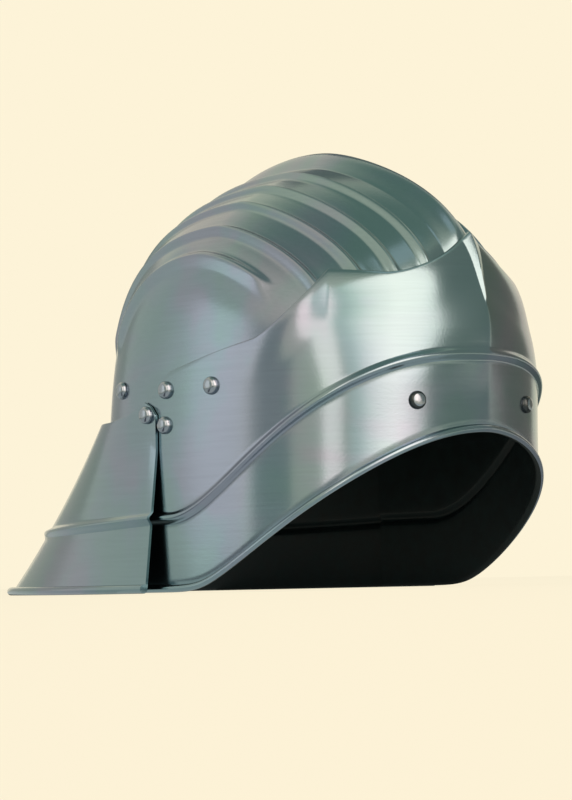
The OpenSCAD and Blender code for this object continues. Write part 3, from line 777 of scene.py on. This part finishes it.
def riveted(name, places, top, bottom, dark=()):
    """Rivets through a stack from the distance top outside the bowl to bottom inside it."""
    grip = top + HEAD_SEAT - bottom + ROVE_SEAT + ROVE_T + END_GAP
    shapes = []
    for angle, z in places:
        p, outward, along = place_axes(angle, z)
        shapes.append((rivet_outline(grip), (p + (top + HEAD_SEAT) * outward, outward, along)))
    return make_turned(name, shapes, dark)


rivets = {
    "front_rivets": riveted("front_rivet_pair", FRONT_PLACE, PLATE_OUT, BAND_IN, PAINTED_REFLECTION_RING),
    "side_rivets": riveted("side_rivet_set", SIDE_PLACES, PLATE_OUT, BAND_IN),
    "strap_rivets": riveted("strap_rivet_pair", STRAP_PLACE, PLATE_OUT, SKULL_IN),
    "rear_rivets": riveted("rear_rivet_pair", REAR_PLACE, 0.0, BAND_IN),
}
PIVOT_ROVE_SEAT, PIVOT_Z = 1.1, TAIL_TOP_Z + 1.5
pivot_top = LAME_IN + SHEET + SEAT
pivot_place = np.array([HALF_W + pivot_top, PIVOT_Y, PIVOT_Z])
pivot_axes = (pivot_place, np.array([1.0, 0, 0]), np.array([0, 1.0, 0]))
pivot_grip = pivot_top - (SKULL_IN - PIVOT_ROVE_SEAT) + ROVE_T + END_GAP
rivets["pivot_rivets"] = make_turned("pivot_rivet_pair", [(rivet_outline(pivot_grip), pivot_axes)])
print("rivets:", {name: len(o.data.polygons) for name, o in rivets.items()})

# %% [markdown]
# ## The leather lining
# Inside the bowl a leather band is caught under the rivets, eight tongues are sewn to it, and their
# tips meet at a disc over the crown. They keep the head off the steel. Each is a strip of a curved
# surface with two faces and rounded cut edges, so plain boxes with a bevel would not follow the bowl.

# %% Lining surfaces
# Band: its height, its middle above the bowl's edge in front, and its climb to the ears
BAND_H, BAND_LIFT, BAND_CLIMB = 16.0, 14.0, 12.0
BAND_ROWS, BAND_COLUMNS = 240, 15
# A strip's outermost points are drawn in by this share of a column, which rounds its cut edges
STRIP_INSET = 0.35


def strip(outer, inner):
    """Closed loop of columns across a strip: outer face there, inner face back, edges rounded."""
    there, back = (np.concatenate([mix(face[:, :1], face[:, 1:2], STRIP_INSET), face[:, 1:-1],
                                   mix(face[:, -1:], face[:, -2:-1], STRIP_INSET)], 1)
                   for face in (outer, inner))
    middle = (outer + inner) / 2
    return np.concatenate([middle[:, :1], there, middle[:, -1:], back[:, ::-1]], 1)


def band_mid(angle):
    """Height of the band's middle, which climbs by BAND_CLIMB from the brow to the ears."""
    a = np.where(angle > 180, 360 - angle, angle)
    return EDGE_Z + BAND_LIFT + BAND_CLIMB * np.sin(np.radians(np.minimum(a, 90))) ** 2


def make_band():
    """Leather band: the form's curve at a steady height, closed all round."""
    angle = np.linspace(0, 360, BAND_ROWS, endpoint=False)[:, None]
    across = np.linspace(1, -1, BAND_COLUMNS)[None, :]
    z = band_mid(angle) + across * BAND_H / 2
    rings = strip(form_point(angle, z, BAND_OUT), form_point(angle, z, BAND_IN))
    faces = grid_quads(*rings.shape[:2], True, True)
    return make_object("lining_band_leather", to_frame(rings.reshape(-1, 3)), faces)


band = make_band()
print("lining band:", len(band.data.polygons), "faces")

# %% [markdown]
# ### Tongues and crown disc
# A tongue starts inside the band's upper edge and bends over in an arch of its own, well inside the
# bowl. It narrows as it rises, because each of its lines runs towards the crown's axis.

# %% Tongues and crown disc
# Tongues: half their width in degrees, and the angle of the arch at which they end
TONGUES, TONGUE_HALF_A, TONGUE_END = 8, 17.0, 80.0
TONGUE_ROWS, TONGUE_COLUMNS, TONGUE_FLAT_HALF = 40, 13, 20.0
LINER_TOP_Z = CROWN_Z - 24.0
LINER_MIDDLE_Z = LINER_TOP_Z - 6
LINER_DRAW = 0.12
CROWN_DISC_R, DISC_EDGE_POINTS = 26.0, 9


def tongue_foot(angle):
    """Height at which a tongue starts, 1 mm under the band's upper edge."""
    return band_mid(angle) + BAND_H / 2 - 1


def tongue_point(angle, k, out):
    """Point of a tongue: from the band (k = 0) along a flattened arch to the crown (k = 1)."""
    angle, k = np.broadcast_arrays(angle, k)
    foot_z = tongue_foot(angle)
    base = form_point(angle, foot_z, BAND_IN - SEAT)
    turn = np.radians(TONGUE_END * k)
    pull = np.cos(turn) * (1 - LINER_DRAW * np.sin(turn))
    x, y = base[..., 0] * pull, mix(mid_y(LINER_MIDDLE_Z), base[..., 1], pull)
    z = foot_z + (LINER_TOP_Z - foot_z) * np.sin(turn)
    level = unit(np.stack([base[..., 0], base[..., 1] - CENTRE_Y, 0 * z], -1))
    lean = np.broadcast_to(turn, z.shape)[..., None]
    return np.stack([x, y, z], -1) + out * (level * np.cos(lean) + np.sin(lean) * [0, 0, 1])


def make_tongues():
    """Eight strips, each a loop of points across it, carried from the band to the crown."""
    share = np.linspace(-1, 1, TONGUE_COLUMNS)
    k = np.linspace(0, 1, TONGUE_ROWS)[:, None]
    flat = np.stack([TONGUE_FLAT_HALF * share, 0 * share], -1)[None]
    outline = strip(flat, flat - [0, LEATHER])[0]
    points, faces, ends, start = [], [], [], 0
    for number in range(TONGUES):
        angle = (number + 0.5) * 360 / TONGUES + share[None, :] * TONGUE_HALF_A
        rings = strip(tongue_point(angle, k, 0.0), tongue_point(angle, k, -LEATHER))
        quads = grid_quads(*rings.shape[:2], False, True)
        if signed_volume(to_frame(rings.reshape(-1, 3)), quads) < 0:
            quads = quads[:, ::-1]
        points.append(to_frame(rings.reshape(-1, 3)))
        faces.append(quads + start)
        ends.append(end_triangles(rings, outline) + start)
        start += len(points[-1])
    return make_object("liner_tongue_set", np.concatenate(points), np.concatenate(faces),
                       ends=np.concatenate(ends))


def make_crown_disc():
    """Leather disc with a rounded edge, turned about the crown's axis."""
    foot, half = float(tongue_foot(np.array(90.0))), LEATHER / 2
    z = mix(foot, LINER_TOP_Z, math.sin(math.radians(TONGUE_END))) + SEAT
    blunt = np.radians(np.linspace(90, -90, DISC_EDGE_POINTS))
    edge = np.stack([CROWN_DISC_R - half + half * np.cos(blunt), half + half * np.sin(blunt)], -1)
    outline = np.concatenate([[[0, LEATHER]], edge, [[0, 0]]])
    place = np.array([0.0, float(mid_y(LINER_MIDDLE_Z)), z])
    grid = turned(outline, place, np.array([0, 0, 1.0]), np.array([1.0, 0, 0]))
    faces = grid_quads(*grid.shape[:2], True, False)
    return make_object("liner_crown_disc", to_frame(grid.reshape(-1, 3)), faces)


tongue_set, crown_disc = make_tongues(), make_crown_disc()
print("tongues and disc:", [len(o.data.polygons) for o in (tongue_set, crown_disc)], "faces")

# %% [markdown]
# ## Materials
# One function turns a hex colour from a paint chart into Blender's linear light, and one adds a node
# with its settings and its links. Every pattern reads Object coordinates, which are metres here, so a
# pattern's scale is one over its real size.

# %% Material helpers


def linear(code):
    """sRGB hex to linear RGBA: c/12.92 below 0.04045, else ((c + 0.055)/1.055)^2.4."""
    c = np.array([int(code[k:k + 2], 16) for k in (1, 3, 5)]) / 255
    c = np.where(c <= 0.04045, c / 12.92, ((c + 0.055) / 1.055) ** 2.4)
    return (*c.tolist(), 1.0)


def add(tree, kind, inputs=None, **settings):
    """Adds a node; inputs are constants or other nodes' sockets, by name or number."""
    made = tree.nodes.new(kind)
    for name, value in settings.items():
        setattr(made, name, value)
    for name, value in (inputs or {}).items():
        if isinstance(value, bpy.types.NodeSocket):
            tree.links.new(value, made.inputs[name])
        else:
            made.inputs[name].default_value = value
    return made


def new_material(name):
    """Empty material and its tree with an output and Object coordinates."""
    material = bpy.data.materials.new(name)
    material.use_nodes = True
    tree = material.node_tree
    tree.nodes.clear()
    return material, tree, add(tree, "ShaderNodeTexCoord").outputs["Object"]


def ramp(tree, factor, stops):
    """Colour ramp with (place, colour) stops."""
    node = add(tree, "ShaderNodeValToRGB", {"Fac": factor})
    elements = node.color_ramp.elements
    while len(elements) < len(stops):
        elements.new(0.5)
    for element, (place, colour) in zip(elements, stops):
        element.position, element.color = place, colour
    return node.outputs["Color"]


print("the middle grey #808080 is", round(linear("#808080")[0], 3), "in linear light")

# %% [markdown]
# ### Brushed and buffed mild steel
# The plates are mild steel, ground, brushed and then buffed until they mirror the room softly. To the
# eye that is a soft mirror with fine lines along the brushing, faint clouds where the buffing wheel
# pressed harder, and reflections whose edges waver where the hammer left the sheet a little uneven.
# Real brushing is ten times finer than a millimetre; it is drawn a millimetre wide, so that it shows.

# %% Steel
# Depths of the three reliefs in metres
WAVE_DEPTH, MOTTLE_DEPTH, LINE_DEPTH = 0.04e-3, 0.018e-3, 0.001e-3


def brushed_steel(name, lines_per_metre, tints, rough):
    """Brushed steel: three noises add up to its relief in metres, a fourth tints it."""
    material, tree, place = new_material(name)
    waves = add(tree, "ShaderNodeTexNoise", {"Vector": place, "Scale": 30.0, "Detail": 1.0})
    mottle = add(tree, "ShaderNodeTexNoise", {"Vector": place, "Scale": 900.0, "Detail": 2.0})
    along = add(tree, "ShaderNodeMapping", {"Vector": place, "Scale": lines_per_metre})
    lines = add(tree, "ShaderNodeTexNoise", {"Vector": along.outputs[0], "Scale": 1.0, "Detail": 2.0})
    patches = add(tree, "ShaderNodeTexNoise", {
        "Vector": place, "Scale": 14.0, "Detail": 3.0, "Distortion": 0.5})
    colour = ramp(tree, patches.outputs["Fac"], tints)
    brushed = add(tree, "ShaderNodeMix", {0: 0.11, 6: colour, 7: ramp(
        tree, lines.outputs["Fac"], [(0.3, linear("#8D9391")), (0.7, linear("#D5DAD9"))])},
        data_type="RGBA", blend_type="MULTIPLY")
    spread = add(tree, "ShaderNodeMapRange", {
        "Value": patches.outputs["Fac"], "From Min": 0.3, "From Max": 0.7,
        "To Min": rough - 0.03, "To Max": rough + 0.04})
    low = add(tree, "ShaderNodeMath", {0: waves.outputs["Fac"], 1: WAVE_DEPTH}, operation="MULTIPLY")
    mid = add(tree, "ShaderNodeMath", {0: mottle.outputs["Fac"], 1: MOTTLE_DEPTH, 2: low.outputs[0]},
              operation="MULTIPLY_ADD")
    relief = add(tree, "ShaderNodeMath", {0: lines.outputs["Fac"], 1: LINE_DEPTH, 2: mid.outputs[0]},
                 operation="MULTIPLY_ADD")
    bump = add(tree, "ShaderNodeBump", {"Strength": 1.0, "Distance": 1.0, "Height": relief.outputs[0]})
    shader = add(tree, "ShaderNodeBsdfPrincipled", {
        "Base Color": brushed.outputs[2], "Metallic": 1.0, "Roughness": spread.outputs[0],
        "Normal": bump.outputs[0]})
    add(tree, "ShaderNodeOutputMaterial", {"Surface": shader.outputs[0]})
    return material


STEEL_TINTS = [(0.4, linear("#869EA5")), (0.5, linear("#899CA9")), (0.6, linear("#9099AB"))]
bowl_steel = brushed_steel("brushed_steel_bowl", (800, 25, 800), STEEL_TINTS, 0.2)
plate_steel = brushed_steel("brushed_steel_plate", (25, 25, 800), STEEL_TINTS, 0.18)
rivet_finish = brushed_steel("polished_steel_rivet", (900, 900, 900),
                             [(0.3, linear("#949FAB")), (0.7, linear("#9EA8B4"))], 0.18)
# Dark steel for the ring on the front rivets' heads, which is a painted dark reflection
painted_reflection_finish = brushed_steel("painted_dark_reflection_ring", (900, 900, 900),
                            [(0.3, linear("#3E4446")), (0.7, linear("#4A5052"))], 0.25)
rove_finish = brushed_steel("forged_steel_rove", (400, 400, 400),
                            [(0.3, linear("#5F6465")), (0.7, linear("#7C8180"))], 0.5)
print("steel:", [m.name for m in (bowl_steel, plate_steel, rivet_finish, painted_reflection_finish, rove_finish)])

# %% [markdown]
# ### Black oil paint inside
# The inside of the steel is painted black against rust. To the eye that is a nearly black surface with
# a dull sheen and brush marks, a little greener than soot.

# %% Paint


def oil_paint(name):
    """Black paint: dark uneven colour, middling gloss, soft brush marks in the bump."""
    material, tree, place = new_material(name)
    marks = add(tree, "ShaderNodeTexNoise", {
        "Vector": place, "Scale": 130.0, "Detail": 5.0, "Roughness": 0.6})
    colour = ramp(tree, marks.outputs["Fac"], [(0.3, linear("#051012")), (0.7, linear("#0D2022"))])
    gloss = add(tree, "ShaderNodeMapRange", {"Value": marks.outputs["Fac"], "To Min": 0.42, "To Max": 0.62})
    bump = add(tree, "ShaderNodeBump", {
        "Strength": 0.25, "Distance": 0.0003, "Height": marks.outputs["Fac"]})
    shader = add(tree, "ShaderNodeBsdfPrincipled", {
        "Base Color": colour, "Roughness": gloss.outputs[0], "Normal": bump.outputs[0],
        "Specular IOR Level": 0.25})
    add(tree, "ShaderNodeOutputMaterial", {"Surface": shader.outputs[0]})
    return material


# Black inside paint, which on the brow plate's cut edge behind the corners is also a painted seam shadow
paint_and_seam_shadow = oil_paint("black_oil_paint_and_seam_shadow")
print("paint:", paint_and_seam_shadow.name, "with", len(paint_and_seam_shadow.node_tree.nodes), "nodes")

# %% [markdown]
# ### Vegetable-tanned leather
# The lining is thick cowhide, oiled almost black where heads have rubbed it. Its grain is a net of
# cells about a millimetre wide, which a Voronoi pattern gives, over slow changes of colour.

# %% Leather


def leather(name):
    """Oiled leather: two browns, a cell pattern for the grain and a soft sheen."""
    material, tree, place = new_material(name)
    tone = add(tree, "ShaderNodeTexNoise", {"Vector": place, "Scale": 35.0, "Detail": 5.0})
    cells = add(tree, "ShaderNodeTexVoronoi", {"Vector": place, "Scale": 900.0},
                feature="DISTANCE_TO_EDGE")
    colour = ramp(tree, tone.outputs["Fac"], [(0.3, linear("#1C110B")), (0.7, linear("#3A2618"))])
    bump = add(tree, "ShaderNodeBump", {
        "Strength": 0.5, "Distance": 0.0002, "Height": cells.outputs["Distance"]})
    shader = add(tree, "ShaderNodeBsdfPrincipled", {
        "Base Color": colour, "Roughness": 0.55, "Normal": bump.outputs[0], "Sheen Weight": 0.1})
    add(tree, "ShaderNodeOutputMaterial", {"Surface": shader.outputs[0]})
    return material


hide = leather("vegetable_tanned_leather")
print("leather:", hide.name, "with", len(hide.node_tree.nodes), "nodes")

# %% [markdown]
# ## Dress the pieces
# Each new piece takes its finish and stands for its CAD node. The tail lame rides on the body that
# turns on the pivots and everything else on the helmet. The roves keep their CAD solids.

# %% Assign, ride and replace
DRESSED = [
    (skull, "skull", "helmet", "plate_steel", (bowl_steel, paint_and_seam_shadow)),
    (brow_plate, "brow_plate", "helmet", "plate_steel", (plate_steel, paint_and_seam_shadow)),
    (tail_lame, "tail_lame", "tail", "plate_steel", (plate_steel, paint_and_seam_shadow)),
    (band, "lining_band", "helmet", "hide", (hide,)),
    (tongue_set, "liner_tongues", "helmet", "hide", (hide,)),
    (crown_disc, "liner_crown", "helmet", "hide", (hide,)),
]
DRESSED += [(piece, node, "helmet", "rivet_steel", (rivet_finish, painted_reflection_finish))
            for node, piece in rivets.items()]
for piece, node, body, slot_name, finishes in DRESSED:
    for finish in finishes:
        piece.data.materials.append(finish)
    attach(piece, body)
    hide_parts(node)
for node, solid in frame["nodes"].items():
    if node.endswith("_roves"):
        solid.data.materials.clear()
        solid.data.materials.append(rove_finish)
print("dressed", len(DRESSED), "pieces")

# %% [markdown]
# ## The studio
# The helmet stands on a plain cream table before a cream wall. Polished steel shows its room more than
# its own colour, so the room matters: a tall soft box in front gives the broad white band, a narrow
# one beside the camera the thin band, and grey cards and a dim ceiling give the deep tones between
# them, as a photographer sets them for silverware. The front box is brightest near its middle, as real
# ones are. The cards are for the steel alone, and the camera looks through them.

# %% Floor and world
CREAM = "#FDF3D8"
FLOOR_HALF = 6.0
OWN_LIGHT = 0.94


def seen_rays(tree):
    """1 for rays from the camera or off metal or glass, 0 for those that only carry light."""
    path = add(tree, "ShaderNodeLightPath")
    sharp = add(tree, "ShaderNodeMath", {0: path.outputs["Is Camera Ray"], 1: path.outputs["Is Glossy Ray"]},
                operation="MAXIMUM")
    return add(tree, "ShaderNodeMath", {0: sharp.outputs[0], 1: path.outputs["Is Transmission Ray"]},
               operation="MAXIMUM").outputs[0]


def make_floor():
    """Wide floor whose colour is mostly its own light, so that only the helmet's shadow shows on it."""
    corners = FLOOR_HALF * np.array([[-1, -1, 0], [1, -1, 0], [1, 1, 0], [-1, 1, 0]])
    mesh = bpy.data.meshes.new("floor")
    mesh.from_pydata(corners.tolist(), [], [[0, 1, 2, 3]])
    floor = link(bpy.data.objects.new("floor", mesh))
    material, tree, _ = new_material("painted_table")
    paint = add(tree, "ShaderNodeBsdfDiffuse", {"Color": linear("#E4DBC2")})
    shown = add(tree, "ShaderNodeEmission", {"Color": linear(CREAM), "Strength": 1.0})
    most = add(tree, "ShaderNodeMath", {0: seen_rays(tree), 1: OWN_LIGHT}, operation="MULTIPLY")
    surface = add(tree, "ShaderNodeMixShader", {0: most.outputs[0], 1: paint.outputs[0], 2: shown.outputs[0]})
    add(tree, "ShaderNodeOutputMaterial", {"Surface": surface.outputs[0]})
    mesh.materials.append(material)


def make_world():
    """Cream wall and dim ceiling for what the camera and the steel see, soft white for the rest."""
    world = bpy.data.worlds.new("studio")
    world.use_nodes = True
    tree = world.node_tree
    tree.nodes.clear()
    direction = add(tree, "ShaderNodeTexCoord").outputs["Generated"]
    height = add(tree, "ShaderNodeSeparateXYZ", {0: direction}).outputs["Z"]
    up = add(tree, "ShaderNodeMapRange", {"Value": height, "From Min": 0.80, "From Max": 0.93})
    room = add(tree, "ShaderNodeMix", {0: up.outputs[0], 6: linear(CREAM), 7: linear("#90A596")},
               data_type="RGBA")
    soft = add(tree, "ShaderNodeBackground", {"Color": (1, 1, 1, 1), "Strength": 0.5})
    wall = add(tree, "ShaderNodeBackground", {"Color": room.outputs[2], "Strength": 1.0})
    surface = add(tree, "ShaderNodeMixShader", {0: seen_rays(tree), 1: soft.outputs[0], 2: wall.outputs[0]})
    add(tree, "ShaderNodeOutputWorld", {"Surface": surface.outputs[0]})
    bpy.context.scene.world = world


make_floor()
make_world()
print("floor:", 2 * FLOOR_HALF, "m wide, with", OWN_LIGHT, "of its colour as its own light")

# %% [markdown]
# ### Soft boxes and cards
# A soft box is an area lamp with a set brightness of its face, so it can change its size and still look
# as bright in the steel. The cards are sheets of paper with a light of their own. A photo of a studio
# wrapped round the scene would be quicker, but its lights could not be moved one by one.

# %% Soft boxes and cards
TARGET = Vector((0, 0, 0.11))
WARM_WHITE = "#FFDED0"
# Cards on the table: points along an arc, and height over the table in metres
CARD_POINTS, CARD_Z = 60, 0.0002


def stand(azimuth, elevation, away):
    """Place at an azimuth (0 in front, 90 at the wearer's right), and the turn that faces the helmet."""
    a, e = math.radians(azimuth), math.radians(elevation)
    offset = Vector((-math.sin(a) * math.cos(e), -math.cos(a) * math.cos(e), math.sin(e)))
    return TARGET + away * offset, (-offset).to_track_quat("-Z", "Y")


def soft_box(name, azimuth, elevation, away, size, radiance, lean=0.0, colour=WARM_WHITE, glow=None):
    """Area lamp whose face has a given brightness: power = radiance x pi x area.

    glow has (place, colour) stops from one side of the face to the other, for uneven cloth.
    """
    lamp = bpy.data.lights.new(name, "AREA")
    lamp.shape, lamp.size, lamp.size_y = "RECTANGLE", size[0], size[1]
    lamp.energy = radiance * math.pi * size[0] * size[1]
    lamp.color = linear(colour)[:3]
    if glow:
        lamp.use_nodes = True
        tree = lamp.node_tree
        tree.nodes.clear()
        face = add(tree, "ShaderNodeNewGeometry").outputs["Parametric"]
        across = add(tree, "ShaderNodeSeparateXYZ", {0: face}).outputs["X"]
        shown = add(tree, "ShaderNodeEmission", {"Color": ramp(tree, across, glow), "Strength": 1.0})
        add(tree, "ShaderNodeOutputLight", {"Surface": shown.outputs[0]})
    made = link(bpy.data.objects.new(name, lamp))
    made.rotation_mode = "QUATERNION"
    place, turn = stand(azimuth, elevation, away)
    made.location, made.rotation_quaternion = place, turn @ Quaternion((0, 0, 1), math.radians(lean))


def paper(name, points, faces, colour):
    """Card that only the steel sees; it neither shows in the picture nor takes light from the rest."""
    mesh = bpy.data.meshes.new(name)
    mesh.from_pydata(points, [], faces)
    material, tree, _ = new_material(name + "_paper")
    shown = add(tree, "ShaderNodeEmission", {"Color": linear(colour), "Strength": 1.0})
    add(tree, "ShaderNodeOutputMaterial", {"Surface": shown.outputs[0]})
    mesh.materials.append(material)
    card = link(bpy.data.objects.new(name, mesh))
    card.visible_camera = card.visible_diffuse = card.visible_shadow = False
    return card


def standing_card(name, azimuth, elevation, away, size, colour):
    """Rectangle of paper on a stand, facing the helmet."""
    corners = np.array([[-0.5, -0.5, 0], [0.5, -0.5, 0], [0.5, 0.5, 0], [-0.5, 0.5, 0]]) * [*size, 1]
    card = paper(name, corners.tolist(), [[0, 1, 2, 3]], colour)
    card.rotation_mode = "QUATERNION"
    card.location, card.rotation_quaternion = stand(azimuth, elevation, away)


def table_card(name, first, last, near, far, colour):
    """Part of a ring of paper on the table, from one azimuth to another."""
    a = np.radians(np.linspace(first, last, CARD_POINTS))[:, None]
    r = np.array([near, far])[None, :]
    points = np.stack([-np.sin(a) * r, -np.cos(a) * r, np.full(a.shape, CARD_Z) + 0 * r], -1)
    faces = grid_quads(CARD_POINTS, 2, False, False)
    paper(name, points.reshape(-1, 3).tolist(), faces.tolist(), colour)


print("one metre in front of the helmet is", [round(v, 2) for v in stand(0, 0, 1.0)[0]])

# %% [markdown]
# ### Lamps and cards in their places
# Each lamp and card was set by where it shows in the steel. The front box gives the broad white band,
# the one beside the camera the thin one, and the left one a soft light on the helmet's side. The
# standing cards give tones between them, and the lower parts of the plates mirror the ones on the table.

# %% Place the lamps and cards
FRONT_GLOW = [(share, (red, green, blue, 1.0)) for share, red, green, blue in (
    (0.0, 0.06, 0.14, 0.16), (0.12, 0.10, 0.20, 0.22), (0.22, 0.33, 0.43, 0.45), (0.33, 0.61, 0.66, 0.68),
    (0.43, 0.80, 0.82, 0.84), (0.62, 1.0, 1.0, 1.0), (0.84, 0.94, 0.95, 0.97), (1.0, 0.62, 0.68, 0.72))]
soft_box("box_front", 23, 24, 2.0, (2.2, 2.3), 2.7, lean=14, glow=FRONT_GLOW)
soft_box("box_beside_camera", 64.5, 20, 2.2, (0.6, 1.9), 1.72, lean=20)
soft_box("box_left", 122, 11, 2.3, (1.0, 1.3), 0.58, colour="#F8F6F4")
# Name, azimuth and elevation in degrees, distance in metres, size in metres and colour
STANDING_CARDS = [
    ("card_above", 4, 66, 1.6, (0.55, 0.4), "#D9E2DC"),
    ("card_right", -33, 26, 1.7, (1.62, 2.1), "#9BA397"),
    ("card_far_right", -76, 5, 1.7, (1.0, 1.9), "#8B8979"),
    ("card_behind", -125, 40, 2.0, (1.1, 1.3), "#7C857F"),
    ("card_left", 97, 10, 1.9, (0.74, 1.1), "#B2BCB0"),
    ("card_back", -171, 5, 2.0, (1.0, 1.6), "#B9BAAD"),
    ("card_side", 147, 14, 2.7, (3.4, 3.0), "#E6E2D4"),
]
# Name, first and last azimuth in degrees, inner and outer radius in metres and colour
TABLE_CARDS = [
    ("card_table_front", -12, 78, 0.05, 0.42, "#D2D3CB"),
    ("card_table_rim", 78, 98, 0.05, 0.15, "#C2C5BE"),
    ("card_table_cheek", 78, 98, 0.15, 0.42, "#67646A"),
    ("card_table_behind", 98, 215, 0.05, 0.6, "#C9CCC4"),
    ("card_table_away", 215, 310, 0.05, 0.42, "#767B74"),
    ("card_table_right", 310, 348, 0.05, 0.42, "#A0A49C"),
    ("card_table_far", 42, 98, 0.42, 1.3, "#A5AAA0"),
    ("card_table_back", 98, 345, 0.6, 1.3, "#A5AAA0"),
]
for card in STANDING_CARDS:
    standing_card(*card)
for card in TABLE_CARDS:
    table_card(*card)

bpy.context.scene.view_settings.view_transform = "Standard"
print("lamps:", len(bpy.data.lights), "cards:", len(STANDING_CARDS) + len(TABLE_CARDS))
